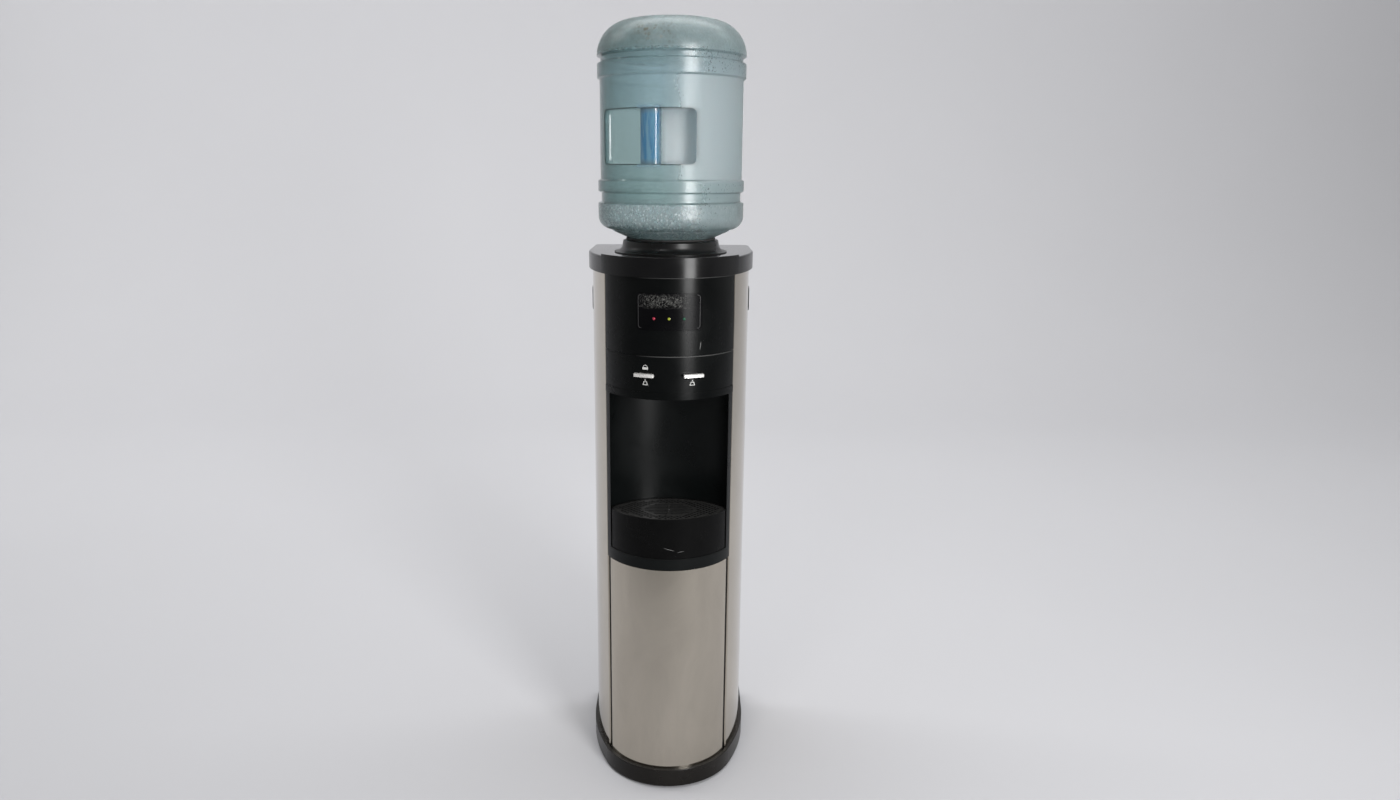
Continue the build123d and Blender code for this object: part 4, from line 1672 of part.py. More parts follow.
PIECES = [
    base_plinth.part,
    feet.part,
    base_plate.part,
    side_panel_left.part,
    side_panel_right.part,
    back_panel.part,
    carry_grip_left.part,
    carry_grip_right.part,
    lower_front_panel.part,
    edge_trims.part,
    alcove_liner.part,
    drip_tray.part,
    drip_grille.part,
    tap_fascia.part,
    display_fascia.part,
    display_window.part,
    indicator_board.part,
    hot_lamp,
    power_lamp,
    cold_lamp,
    top_cover.part,
    bottle_collar.part,
    collar_seal.part,
    feed_spike.part,
    bottle.part,
    bottle_cap.part,
    tap_bracket.part,
    lever_pins.part,
    hot_valve_body,
    cold_valve_body,
    hot_valve_stem,
    cold_valve_stem,
    hot_valve_spring,
    cold_valve_spring,
    hot_lever,
    cold_lever,
    cold_tank.part,
    tank_insulation.part,
    evaporator_coil,
    tank_shelf.part,
    hot_tank.part,
    heater_band.part,
    tank_thermostats.part,
    hot_tank_bracket.part,
    water_hoses.part,
    drain_fitting.part,
    drain_cap.part,
    compressor.part,
    compressor_grommets.part,
    start_relay.part,
    condenser_tube,
    condenser_wires.part,
    condenser_clips.part,
    refrigerant_lines.part,
    filter_drier.part,
    switch_bezel.part,
    heater_switch,
    cooler_switch,
    cord_gland.part,
]
for piece in PIECES:
    export_step(piece, f"parts/{piece.label}.step")
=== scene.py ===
import logging
import math
from dataclasses import dataclass, field
from enum import Enum
from typing import Callable, Sequence

import bpy
from bpy.types import Material, NodeSocket, Object
from mathutils import Matrix, Vector


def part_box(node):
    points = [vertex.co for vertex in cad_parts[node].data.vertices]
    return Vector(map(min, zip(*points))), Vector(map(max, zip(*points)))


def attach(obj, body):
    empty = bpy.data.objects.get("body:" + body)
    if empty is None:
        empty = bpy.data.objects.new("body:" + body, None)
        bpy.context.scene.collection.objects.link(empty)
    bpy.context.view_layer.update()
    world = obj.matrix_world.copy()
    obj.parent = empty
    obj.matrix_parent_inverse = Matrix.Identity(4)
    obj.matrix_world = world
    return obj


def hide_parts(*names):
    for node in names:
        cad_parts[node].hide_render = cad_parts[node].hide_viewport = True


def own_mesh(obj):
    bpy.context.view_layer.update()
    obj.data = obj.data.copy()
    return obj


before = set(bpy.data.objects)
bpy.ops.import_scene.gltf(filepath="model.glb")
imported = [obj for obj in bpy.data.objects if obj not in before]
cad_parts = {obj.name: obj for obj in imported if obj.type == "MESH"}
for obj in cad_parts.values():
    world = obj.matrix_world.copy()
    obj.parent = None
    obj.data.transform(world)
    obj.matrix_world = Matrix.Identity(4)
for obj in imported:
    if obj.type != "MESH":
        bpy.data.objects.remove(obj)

logging.basicConfig(level=logging.INFO, format="%(message)s")
log = logging.getLogger("dispenser")

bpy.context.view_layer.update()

# Lengths are in metres, in the solids' frame: X to the right, Y to the back, Z up.
# The front at the taps is part of an upright cylinder whose axis is at X = 0.
NOSE_RADIUS = 0.130
NOSE_Y = -0.041
LEVER_Z = 0.8296
TAP_X = 0.042
TOUCH = 1e-6
QUARTER_TURN = math.pi / 2

Colour = tuple[float, float, float]
Point = tuple[float, float, float]
Span = tuple[float, float]

DUST: Colour = (0.30, 0.29, 0.27)


class Body(Enum):
    """The bodies that new pieces ride on."""

    CABINET = "cabinet"


class Slot(Enum):
    """The record's material slots named for new pieces."""

    SATIN_BLACK = "satin_black"
    GLOSS_BLACK = "gloss_black"
    STEEL = "steel"


def shade(colour: Colour, factor: float, lift: float = 0.0) -> Colour:
    """A colour with each part multiplied by a factor and lifted, at most 1."""
    return tuple(min(1.0, value * factor + lift) for value in colour)


@dataclass(frozen=True)
class Pattern:
    """A value that varies over a surface, open to plain arithmetic."""

    board: "Board"
    socket: NodeSocket

    def __add__(self, other: "Pattern | float") -> "Pattern":
        """The sum of this and a pattern or a number."""
        return self.board.reckon("ADD", self, other)

    def __sub__(self, other: "Pattern | float") -> "Pattern":
        """This without a pattern or a number."""
        return self.board.reckon("SUBTRACT", self, other)

    def __rsub__(self, other: float) -> "Pattern":
        """A number without this."""
        return self.board.reckon("SUBTRACT", other, self)

    def __mul__(self, other: "Pattern | float") -> "Pattern":
        """The product of this and a pattern or a number."""
        return self.board.reckon("MULTIPLY", self, other)

    def peak(self, other: "Pattern") -> "Pattern":
        """The larger of two patterns."""
        return self.board.reckon("MAXIMUM", self, other)

    def ramp(self, low: float, high: float, start: float = 0.0, end: float = 1.0) -> "Pattern":
        """A straight change between two values from 0 to 1, level before and after it.

        Args:
            low: where it begins.
            high: where it ends.
            start: what it is up to there.
            end: what it is from there on.

        Returns:
            The changed pattern.
        """
        node = self.board.tree.nodes.new("ShaderNodeValToRGB")
        for element, position, value in zip(node.color_ramp.elements, (low, high), (start, end)):
            element.position = position
            element.color = (value, value, value, 1.0)
        self.board.feed(node.inputs["Fac"], self)
        return Pattern(self.board, node.outputs["Color"])

    def rise(self, low: float, high: float) -> "Pattern":
        """A straight change from 0 at one value to 1 at another, which may be lower."""
        return self.board.reckon("DIVIDE", self - low, high - low).ramp(0.0, 1.0)

    def parts(self) -> list["Pattern"]:
        """Takes a vector apart.

        Returns:
            Its parts along X, Y and Z.
        """
        node = self.board.tree.nodes.new("ShaderNodeSeparateXYZ")
        self.board.feed(node.inputs["Vector"], self)
        return [Pattern(self.board, node.outputs[axis]) for axis in "XYZ"]

    def length(self) -> "Pattern":
        """A vector's length."""
        return self.board.node("ShaderNodeVectorMath", "Value", {0: self}, operation="LENGTH")


class Board:
    """A material's node tree, with short calls for the patterns that the finishes share."""

    def __init__(self, name: str) -> None:
        """Starts a material with one Principled shader.

        Args:
            name: the material's name.
        """
        self.material = bpy.data.materials.new(name)
        self.material.use_nodes = True
        self.tree = self.material.node_tree
        self.shader = self.tree.nodes["Principled BSDF"]
        self.start = self.node("ShaderNodeTexCoord", "Object", {})

    def feed(self, socket: NodeSocket, value: object) -> None:
        """Links a pattern to an input, or sets a plain value on it.

        Args:
            socket: the input.
            value: a pattern, a number, a point or a colour.
        """
        if isinstance(value, Pattern):
            self.tree.links.new(value.socket, socket)
        elif socket.type == "RGBA":
            socket.default_value = (*value, 1.0)
        else:
            socket.default_value = value

    def node(self, kind: str, output: str | int, inputs: dict[str | int, object], **settings: str) -> Pattern:
        """Adds a node.

        Args:
            kind: its type.
            output: which of its outputs is wanted.
            inputs: what goes into its inputs.
            settings: its own settings.

        Returns:
            The wanted output.
        """
        made = self.tree.nodes.new(kind)
        for name, value in settings.items():
            setattr(made, name, value)
        for key, value in inputs.items():
            self.feed(made.inputs[key], value)
        return Pattern(self, made.outputs[output])

    def coat(self, **sockets: object) -> None:
        """Links patterns, or sets plain values, on the shader.

        Args:
            sockets: what goes into each socket, with underscores for the spaces in its name.
        """
        for name, value in sockets.items():
            self.feed(self.shader.inputs[name.replace("_", " ")], value)

    def place(self, centre: Point = (0, 0, 0), size: Point = (1, 1, 1), turn: Point = (0, 0, 0)) -> Pattern:
        """Object coordinates centred on a point, turned, and divided by a size.

        Args:
            centre: the point.
            size: what counts as one unit along each axis.
            turn: rotation in radians.

        Returns:
            The coordinates.
        """
        inputs = {"Vector": self.start, "Location": centre, "Rotation": turn, "Scale": size}
        return self.node("ShaderNodeMapping", "Vector", inputs, vector_type="TEXTURE")

    def drawn_out(self, stretch: float) -> Pattern:
        """Object coordinates that draw a pattern out upwards."""
        return self.place(size=(1, 1, stretch))

    def noise(
        self, scale: float, detail: float = 4.0, roughness: float = 0.5, twist: float = 0.0, at: Pattern | None = None
    ) -> Pattern:
        """Cloudy noise.

        Args:
            scale: how many lumps per metre.
            detail: octaves.
            roughness: how strong the finer octaves are.
            twist: distortion.
            at: the coordinates, if they aren't the plain ones.

        Returns:
            The factor.
        """
        inputs = {"Scale": scale, "Detail": detail, "Roughness": roughness, "Distortion": twist}
        return self.node("ShaderNodeTexNoise", "Fac", {"Vector": at or self.start, **inputs})

    def cells(self, scale: float, at: Pattern | None = None, output: str = "Distance") -> Pattern:
        """Scattered points: the distance to the nearest, or a random colour round each."""
        return self.node("ShaderNodeTexVoronoi", output, {"Vector": at or self.start, "Scale": scale})

    def reckon(self, operation: str, first: Pattern | float, second: Pattern | float) -> Pattern:
        """A math node on two patterns or numbers."""
        return self.node("ShaderNodeMath", "Value", {0: first, 1: second}, operation=operation)

    def blend(self, factor: Pattern, first: Pattern | Colour, second: Pattern | Colour) -> Pattern:
        """A mix that is the first colour where the factor is 0 and the second where it is 1."""
        return self.node("ShaderNodeMix", 2, {0: factor, 6: first, 7: second}, data_type="RGBA")

    def patch(
        self, centre: Point, size: Point, turn: Point = (0, 0, 0), soft: float = 0.3, ragged: float = 0.0
    ) -> Pattern:
        """A factor that is 1 inside a box and 0 outside it.

        Args:
            centre: the box's middle.
            size: its half sizes.
            turn: its rotation.
            soft: how much of it fades.
            ragged: how far noise eats into its edge.

        Returns:
            The factor.
        """
        x, y, z = [self.reckon("ABSOLUTE", part, 0.0) for part in self.place(centre, size, turn).parts()]
        reach = x.peak(z).peak(y)
        if ragged > 0:
            reach = reach + self.noise(260.0, 5.0) * ragged
        return (reach * 0.5).ramp(0.5 * (1 - soft), 0.5, 1.0, 0.0)

    def normal(self) -> Pattern:
        """The surface's direction."""
        return self.node("ShaderNodeNewGeometry", "Normal", {})

    def facing_up(self) -> Pattern:
        """How far a surface faces up, from 0 to 1."""
        return self.normal().parts()[2]

    def edge(self, blend: float) -> Pattern:
        """How far a surface turns to its edge, from 0 to 1, for clear plastic alone."""
        return self.node("ShaderNodeLayerWeight", "Facing", {"Blend": blend})

    def bump(self, height: Pattern, strength: float, distance: float) -> None:
        """Puts relief on the shader's normal.

        Args:
            height: what drives it.
            strength: from 0 to 1.
            distance: its depth.
        """
        inputs = {"Strength": strength, "Distance": distance, "Height": height}
        self.coat(Normal=self.node("ShaderNodeBump", "Normal", inputs))


@dataclass(frozen=True)
class Finish:
    """A surface finish that makes its own material."""

    name: str

    def paint(self, board: Board) -> None:
        """Lays the finish's nodes on a board."""
        raise NotImplementedError

    def material(self) -> Material:
        """Makes the material.

        Returns:
            The finished material.
        """
        board = Board(self.name)
        self.paint(board)
        return board.material


@dataclass(frozen=True)
class Moulding(Finish):
    """Moulded black or coloured plastic with handling marks and a little dust."""

    colour: Colour
    roughness: float
    grain: float = 900.0
    depth: float = 0.00006
    dust: float = 0.25
    sheen: float = 0.45
    crown: float = 1.0

    def layers(self, board: Board) -> tuple[Pattern, Pattern]:
        """Lays mottled colour, smudged gloss and dust on the upper faces.

        Args:
            board: the node board.

        Returns:
            The colour and the roughness.
        """
        smudge = board.noise(11.0, 6.0, 0.62, 0.6)
        fine = board.noise(130.0)
        body = board.blend(smudge.ramp(0.35, 0.75), self.colour, shade(self.colour, 1.4, 0.001))
        specks = board.cells(420.0).ramp(0.0, 0.16, 1.0, 0.0)
        settled = board.facing_up().ramp(0.75, 1.0, 0.0, self.dust)
        dusty = settled * (fine * (specks + 0.25))
        gloss = smudge.ramp(0.3, 0.7, self.roughness * 0.85, self.roughness * 1.25)
        if self.crown < 1.0:
            gloss = gloss * board.facing_up().ramp(0.80, 0.97, 1.0, self.crown)
        return board.blend(dusty, body, DUST), gloss + dusty * 0.3

    def paint(self, board: Board) -> None:
        """Lays the colour and gloss, and a fine grain.

        Args:
            board: the node board.
        """
        colour, rough = self.layers(board)
        board.coat(Base_Color=colour, Roughness=rough, IOR=1.49, Specular_IOR_Level=self.sheen)
        board.bump(board.noise(self.grain, 3.0), 0.35, self.depth)


@dataclass(frozen=True)
class Scuffed(Moulding):
    """Moulded plastic with pale scratches, rubbed patches and painted highlights along seam rims in named places."""

    scratches: tuple[tuple[Point, Point, Point], ...] = ()
    rubbed: tuple[tuple[Point, Point], ...] = ()
    # Painted highlights: the heights of pale lines along the seams, their colour, middle and half size.
    painted_highlight_heights: tuple[float, ...] = ()
    scratch_colour: Colour = (0.20, 0.20, 0.195)
    rubbed_colour: Colour = (0.17, 0.17, 0.16)
    highlight_colour: Colour = (0.10, 0.10, 0.098)
    highlight_middle: Span = (0.035, -0.1)
    highlight_size: Point = (0.095, 0.2, 0.0011)
    matt: float = 0.3

    def layers(self, board: Board) -> tuple[Pattern, Pattern]:
        """Lays the moulding, then its scratches, rubbed patches and painted rim highlights.

        Args:
            board: the node board.

        Returns:
            The colour and the roughness.
        """
        colour, rough = super().layers(board)
        for centre, size, turn in self.scratches:
            mark = board.patch(centre, size, turn, 0.6, 0.25)
            colour = board.blend(mark, colour, self.scratch_colour)
            rough = rough + mark * self.matt
        for centre, size in self.rubbed:
            slanted = board.place(size=(1, 1, 1.3), turn=(0, 0.3, 0))
            hair = board.noise(330.0, 6.0, 0.8, 1.2, slanted).ramp(0.50, 0.62)
            worn = board.patch(centre, size, soft=0.45, ragged=0.4) * hair
            colour = board.blend(worn, colour, self.rubbed_colour)
            rough = rough + worn * self.matt
        # Painted highlight: a thin pale line below each seam, fading at its ends, stands in for light on a rounded
        # edge.
        for height in self.painted_highlight_heights:
            rim = board.patch((*self.highlight_middle, height), self.highlight_size, soft=0.9)
            colour = board.blend(rim, colour, self.highlight_colour)
        return colour, rough


@dataclass(frozen=True)
class PolishedSteel(Finish):
    """Mirror-polished stainless sheet with wiping marks and fine upright scratches."""

    colour: Colour = (0.52, 0.475, 0.405)
    roughness: float = 0.085

    def paint(self, board: Board) -> None:
        """Lays warm metal, wiped smudges, hairline scratches and a slow ripple.

        Args:
            board: the node board.
        """
        smudge = board.noise(9.0, 7.0, 0.65, 0.8, board.drawn_out(2.2))
        hair = board.noise(520.0, 5.0, 0.7, at=board.drawn_out(26)).ramp(0.60, 0.72, 0.0, 0.10)
        ripple = board.noise(7.0, 2.0, at=board.drawn_out(3))
        gloss = smudge.ramp(0.35, 0.75, self.roughness * 0.7, self.roughness * 1.7)
        colour = board.blend(smudge.ramp(0.35, 0.7), shade(self.colour, 0.86), self.colour)
        board.coat(Base_Color=colour, Roughness=gloss + hair, Metallic=1.0)
        board.bump(ripple + hair * 0.02, 0.25, 0.0009)


@dataclass(frozen=True)
class BareMetal(Finish):
    """Bare or plated metal with drawn streaks."""

    colour: Colour
    roughness: float
    streak: Point = (1.0, 1.0, 12.0)
    metal: float = 1.0

    def paint(self, board: Board) -> None:
        """Lays tarnish, streaked gloss and a slight relief.

        Args:
            board: the node board.
        """
        tarnish = board.noise(36.0, 6.0, 0.6).ramp(0.4, 0.65)
        drawn = board.noise(700.0, at=board.place(size=self.streak))
        gloss = drawn.ramp(0.3, 0.7, self.roughness * 0.7, self.roughness * 1.4)
        colour = board.blend(tarnish, shade(self.colour, 0.7), self.colour)
        board.coat(Base_Color=colour, Roughness=gloss, Metallic=self.metal)
        board.bump(drawn, 0.15, 0.0001)


@dataclass(frozen=True)
class ZincSheet(Finish):
    """Galvanised sheet with its spangle."""

    colour: Colour = (0.46, 0.47, 0.48)

    def paint(self, board: Board) -> None:
        """Lays crystal patches of differing grey and gloss.

        Args:
            board: the node board.
        """
        tints = board.cells(120.0, board.drawn_out(1.6), "Color")
        crystal = board.node("ShaderNodeSeparateColor", "Red", {"Color": tints})
        stain = board.noise(8.0, 5.0).ramp(0.5, 0.8, 0.0, 0.35)
        spangle = board.blend(crystal, shade(self.colour, 0.78), self.colour)
        gloss = crystal.ramp(0.0, 1.0, 0.34, 0.52)
        board.coat(Base_Color=board.blend(stain, spangle, DUST), Roughness=gloss, Metallic=0.85)
        board.bump(crystal, 0.1, 0.0001)


@dataclass(frozen=True)
class Enamel(Finish):
    """Black or grey enamelled steel with a slight orange peel."""

    colour: Colour = (0.012, 0.012, 0.013)
    roughness: float = 0.32
    dust: Colour = (0.32, 0.30, 0.28)

    def paint(self, board: Board) -> None:
        """Lays mottled enamel, dust and orange peel.

        Args:
            board: the node board.
        """
        mottled = board.noise(60.0, 5.0)
        settled = board.facing_up().ramp(0.6, 1.0, 0.0, 0.3)
        body = board.blend(mottled, self.colour, shade(self.colour, 1.6, 0.01))
        gloss = mottled.ramp(0.3, 0.7, self.roughness * 0.8, self.roughness * 1.3)
        board.coat(Base_Color=board.blend(settled * mottled, body, self.dust), Roughness=gloss)
        board.bump(board.noise(420.0, 2.0), 0.25, 0.0001)


@dataclass(frozen=True)
class Soft(Finish):
    """Rubber, silicone or foam: matt, with pores."""

    colour: Colour
    roughness: float
    pores: float = 600.0
    depth: float = 0.0002

    def paint(self, board: Board) -> None:
        """Lays blotched colour and pores.

        Args:
            board: the node board.
        """
        blotch = board.noise(40.0, 6.0)
        gloss = blotch.ramp(0.3, 0.8, self.roughness * 0.9, min(1.0, self.roughness * 1.1))
        board.coat(Base_Color=board.blend(blotch, shade(self.colour, 0.75), self.colour), Roughness=gloss)
        board.bump(board.cells(self.pores), 0.4, self.depth)


@dataclass(frozen=True)
class LampLens(Finish):
    """A small tinted lamp lens that glows."""

    colour: Colour
    glow: float

    def paint(self, board: Board) -> None:
        """Lays a tinted lens with a brighter core.

        Args:
            board: the node board.
        """
        colour = board.blend(board.noise(300.0, 2.0), shade(self.colour, 0.6), self.colour)
        board.coat(Base_Color=colour, Roughness=0.12, Coat_Weight=0.5)
        board.coat(Emission_Color=self.colour, Emission_Strength=self.glow)


@dataclass(frozen=True)
class PrintedInk(Finish):
    """Pale printed marks, slightly worn."""

    colour: Colour = (0.62, 0.62, 0.60)

    def paint(self, board: Board) -> None:
        """Lays ink with thin places."""
        colour = board.blend(board.noise(700.0), shade(self.colour, 0.72), self.colour)
        board.coat(Base_Color=colour, Roughness=0.5)


@dataclass(frozen=True)
class BottleZones:
    """Where the bottle isn't plain clear plastic, each from 0 to 1."""

    foot: Pattern
    dome: Pattern
    fog: Pattern
    sunk: Pattern
    beside: Pattern
    beads: Pattern
    film: Pattern
    # Painted shade on the front's left side and the dome.
    painted_shade: Pattern
    bar: Pattern
    stain: Pattern
    matt: Pattern
    grain: Pattern


@dataclass(frozen=True)
class BottlePlastic(Finish):
    """Tinted bottle plastic: fogged on the right, beaded at the foot, stained on the dome, blue in the grip, with
    painted shade at the edges, on the left and on the dome.

    Each span is where a zone begins and where it is full, along the axis that its line names. Coordinates drawn out
    by the value of flat have next to no height, so their length is the distance from the bottle's axis.
    """

    tint: Colour = (0.67, 0.80, 0.83)
    low_tint: Colour = (0.60, 0.73, 0.715)
    # Colour of the painted shade at the edges, on the left and on the dome.
    painted_shade_tint: Colour = (0.26, 0.37, 0.37)
    film: Colour = (0.26, 0.34, 0.32)
    bead: Colour = (0.96, 1.0, 1.0)
    fogged: Colour = (0.82, 0.90, 0.92)
    depth_tint: Colour = (0.42, 0.62, 0.65)
    density: float = 80.0
    pocket: Colour = (0.72, 0.82, 0.80)
    # Pale fog in the pocket right of the grip, made paler as painted light over the recess's shade.
    pocket_fog_and_light: Colour = (0.84, 0.95, 1.0)
    grip: Colour = (0.07, 0.29, 0.54)
    grip_streak: Colour = (0.26, 0.50, 0.64)
    stain: Colour = (0.06, 0.055, 0.030)
    tint_z: Span = (1.12, 1.36)
    foot_z: Span = (1.127, 1.121)
    body_foot_z: Span = (1.160, 1.168)
    body_top_z: Span = (1.347, 1.339)
    dome_z: Span = (1.378, 1.390)
    pocket_radius: Span = (0.127, 0.119)
    pocket_fog_x: Span = (-0.022, -0.008)
    bank_x: Span = (-0.018, 0.070)
    # Painted shade on the front's left side.
    left_shade_x: Span = (-0.02, -0.10)
    # Painted edge shade, stronger towards the left.
    edge_shade_x: Span = (0.05, -0.11)
    front_y: Span = (0.02, -0.02)
    left_normal_x: Span = (-0.35, -0.75)
    grip_centre: Point = (-0.0340, -0.1113, 1.2403)
    grip_size: Point = (0.023, 0.019, 0.056)
    grip_turn: Point = (0, 0, math.radians(-17.0))
    stain_centre: Point = (-0.030, -0.105, 1.408)
    stain_size: Point = (0.045, 0.050, 0.022)
    flat: float = 4000.0

    def fog(self, board: Board, body: Pattern) -> Pattern:
        """How fogged the wall is: slow patches, and a bank of fog right of the grip, thickest between the ridges.

        Args:
            board: the node board.
            body: 1 between the ridges.

        Returns:
            The factor.
        """
        across = board.start.parts()[0]
        slow = board.noise(8.0, 3.0, 0.5, 0.6, board.drawn_out(2.4))
        wiped = board.noise(75.0, 4.0, 0.6, at=board.drawn_out(14))
        uneven = slow * 0.75 + wiped * 0.25
        bank = (across + (uneven - 0.5) * 0.07).rise(*self.bank_x)
        return bank * (body * 0.48 + 0.42) + uneven.ramp(0.40, 0.70, 0.0, 0.16)

    def stains(self, board: Board) -> Pattern:
        """Dark spots in a ragged patch of the dome.

        Args:
            board: the node board.

        Returns:
            The factor.
        """
        smear = board.patch(self.stain_centre, self.stain_size, soft=0.6, ragged=0.15)
        region = board.noise(34.0, 3.0).ramp(0.30, 0.44)
        return smear * region * board.cells(120.0).ramp(0.26, 0.50, 1.0, 0.25)

    def zones(self, board: Board) -> BottleZones:
        """Finds the bottle's zones.

        Args:
            board: the node board.

        Returns:
            The zones.
        """
        across, along, height = board.start.parts()
        foot = height.rise(*self.foot_z)
        dome = height.rise(*self.dome_z)
        body = height.rise(*self.body_foot_z) * height.rise(*self.body_top_z)
        fog = self.fog(board, body)
        sunk = body * board.drawn_out(self.flat).length().rise(*self.pocket_radius)
        # Fog in the pocket right of the grip: partly real fog, partly painted light lifting the recess's shade.
        beside = sunk * across.rise(*self.pocket_fog_x)
        ends = foot * 0.40 + dome * 0.75
        crust = board.noise(150.0, 6.0, 0.75, 0.6, board.drawn_out(1.3))
        # Painted shade: the front's left side above the foot, and the dome, are darkened.
        left = across.rise(*self.left_shade_x) * along.rise(*self.front_y) * (1.0 - foot)
        return BottleZones(
            foot=foot, dome=dome, fog=fog, sunk=sunk, beside=beside,
            beads=board.cells(210.0, board.drawn_out(1.6)).ramp(0.10, 0.36, 1.0, 0.0) * foot,
            film=crust.ramp(0.40, 0.60) * ends,
            painted_shade=left * 0.60 + dome * 0.26,
            bar=board.patch(self.grip_centre, self.grip_size, self.grip_turn, 0.35),
            stain=self.stains(board),
            matt=fog.peak(ends * 0.8).peak(beside),
            grain=board.noise(380.0, 3.0, 0.6, at=board.drawn_out(1.6)),
        )

    def colour(self, board: Board, zones: BottleZones) -> Pattern:
        """Lays one zone's colour over another.

        Args:
            board: the node board.
            zones: the bottle's zones.

        Returns:
            The colour.
        """
        across, _, height = board.start.parts()
        # Painted shade: the wall darkens towards its edges, more on the left.
        rim = board.edge(0.35).ramp(0.10, 0.60) * (across.rise(*self.edge_shade_x) * 0.60 + 0.35)
        streak = board.noise(120.0, 5.0, 0.65, 0.8, board.drawn_out(9)).ramp(0.42, 0.64)
        colour = board.blend(height.rise(*self.tint_z), self.low_tint, self.tint)
        for zone, laid in (
            (zones.fog.peak(zones.foot * 0.70), self.fogged),
            # Painted shade at the edges.
            (rim, self.painted_shade_tint),
            # Painted shade on the left and the dome.
            (zones.painted_shade, self.painted_shade_tint),
            (zones.film * 0.75, self.film),
            (zones.beads * 0.65, self.bead),
            (zones.sunk, self.pocket),
            # Real fog and painted light in the pocket.
            (zones.beside, self.pocket_fog_and_light),
            (zones.bar * 0.94, board.blend(streak, self.grip, self.grip_streak)),
            (zones.stain * 0.95, self.stain),
        ):
            colour = board.blend(zone, colour, laid)
        return colour

    def cloud(self, board: Board, zones: BottleZones) -> Pattern:
        """How far the wall is milky, not clear.

        Args:
            board: the node board.
            zones: the bottle's zones.

        Returns:
            The factor.
        """
        side = board.normal().parts()[0].rise(*self.left_normal_x)
        milky = zones.beside * (0.62 - side * 0.55)
        wet = zones.film.peak(zones.beads)
        for zone, share in ((zones.matt, 0.20), (wet, 0.45), (zones.bar, 0.40), (zones.stain, 0.85)):
            milky = milky.peak(zone * share)
        return milky

    def paint(self, board: Board) -> None:
        """Lays the zones' colours, gloss and milkiness, beads and grain in relief, a slow ripple and a tint by depth.

        Args:
            board: the node board.
        """
        zones = self.zones(board)
        board.coat(
            Base_Color=self.colour(board, zones),
            Roughness=zones.matt * (zones.grain * 0.30 + 0.30) + 0.09,
            Transmission_Weight=0.97 - self.cloud(board, zones),
        )
        board.coat(IOR=1.45, Subsurface_Weight=1.0, Subsurface_Radius=(1.0, 1.0, 1.0), Subsurface_Scale=0.008)
        wavy = board.noise(17.0, 2.0, at=board.drawn_out(1.7)) * 0.25
        fine = (zones.dome + zones.foot * 1.1) * 0.14
        board.bump(wavy + (zones.grain + zones.beads) * fine, 0.5, 0.0030)
        inside = {"Color": self.depth_tint, "Density": self.density}
        depth = board.node("ShaderNodeVolumeAbsorption", "Volume", inside)
        board.feed(board.tree.nodes["Material Output"].inputs["Volume"], depth)


class Bench:
    """Modelling by operators with nothing else selected."""

    @staticmethod
    def clear() -> None:
        """Leaves edit mode and deselects everything."""
        if bpy.context.object is not None and bpy.context.object.mode != "OBJECT":
            bpy.ops.object.mode_set(mode="OBJECT")
        bpy.ops.object.select_all(action="DESELECT")

    @staticmethod
    def take(piece: Object) -> None:
        """Selects one object alone and makes it active.

        Args:
            piece: the object.
        """
        Bench.clear()
        piece.select_set(True)
        bpy.context.view_layer.objects.active = piece

    @staticmethod
    def edit(piece: Object) -> None:
        """Opens one object in edit mode with all of its mesh selected.

        Args:
            piece: the object.
        """
        Bench.take(piece)
        bpy.ops.object.mode_set(mode="EDIT")
        bpy.ops.mesh.select_all(action="SELECT")

    @staticmethod
    def settle(piece: Object, name: str) -> None:
        """Puts an object's place into its mesh and names it.

        Args:
            piece: the object.
            name: its name.
        """
        Bench.take(piece)
        bpy.ops.object.transform_apply(location=True, rotation=True, scale=True)
        piece.name = name
        piece.data.name = name

    @staticmethod
    def pick_edges(piece: Object, test: Callable[[Vector], bool]) -> None:
        """Selects the edges whose two ends pass a test, and stays in edit mode.

        Args:
            piece: the active object.
            test: whether an end counts.
        """
        bpy.ops.object.mode_set(mode="EDIT")
        bpy.ops.mesh.select_mode(type="EDGE")
        bpy.ops.mesh.select_all(action="DESELECT")
        bpy.ops.object.mode_set(mode="OBJECT")
        vertices = piece.data.vertices
        for edge in piece.data.edges:
            edge.select = all(test(vertices[end].co) for end in edge.vertices)
        bpy.ops.object.mode_set(mode="EDIT")

    @staticmethod
    def cut(piece: Object, tool: Object) -> None:
        """Cuts one object by another, which is then removed.

        Args:
            piece: what is cut.
            tool: what cuts it.
        """
        Bench.take(piece)
        modifier = piece.modifiers.new("cut", "BOOLEAN")
        modifier.operation = "DIFFERENCE"
        modifier.solver = "EXACT"
        modifier.object = tool
        bpy.ops.object.modifier_apply(modifier=modifier.name)
        bpy.data.objects.remove(tool, do_unlink=True)

    @staticmethod
    def smooth(piece: Object, angle: float = 35.0) -> None:
        """Shades an object smooth, apart from edges sharper than an angle in degrees."""
        Bench.take(piece)
        bpy.ops.object.shade_smooth_by_angle(angle=math.radians(angle))

    @staticmethod
    def join(pieces: Sequence[Object], name: str) -> Object:
        """Joins objects into one.

        Args:
            pieces: the objects.
            name: the joined object's name.

        Returns:
            The joined object.
        """
        Bench.clear()
        for piece in pieces:
            piece.select_set(True)
        bpy.context.view_layer.objects.active = pieces[0]
        bpy.ops.object.join()
        Bench.settle(pieces[0], name)
        return pieces[0]

    @staticmethod
    def hand_over(piece: Object, slot: Slot, finish: Material, body: Body = Body.CABINET) -> None:
        """Dresses a finished piece, and sets it on the body that it rides on.

        Args:
            piece: the object.
            slot: the record's material slot; not used.
            finish: its material.
            body: the body.
        """
        piece.data.materials.clear()
        piece.data.materials.append(finish)
        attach(piece, body.value)
        log.info("piece %s: %d faces on %s", piece.name, len(piece.data.polygons), body.value)


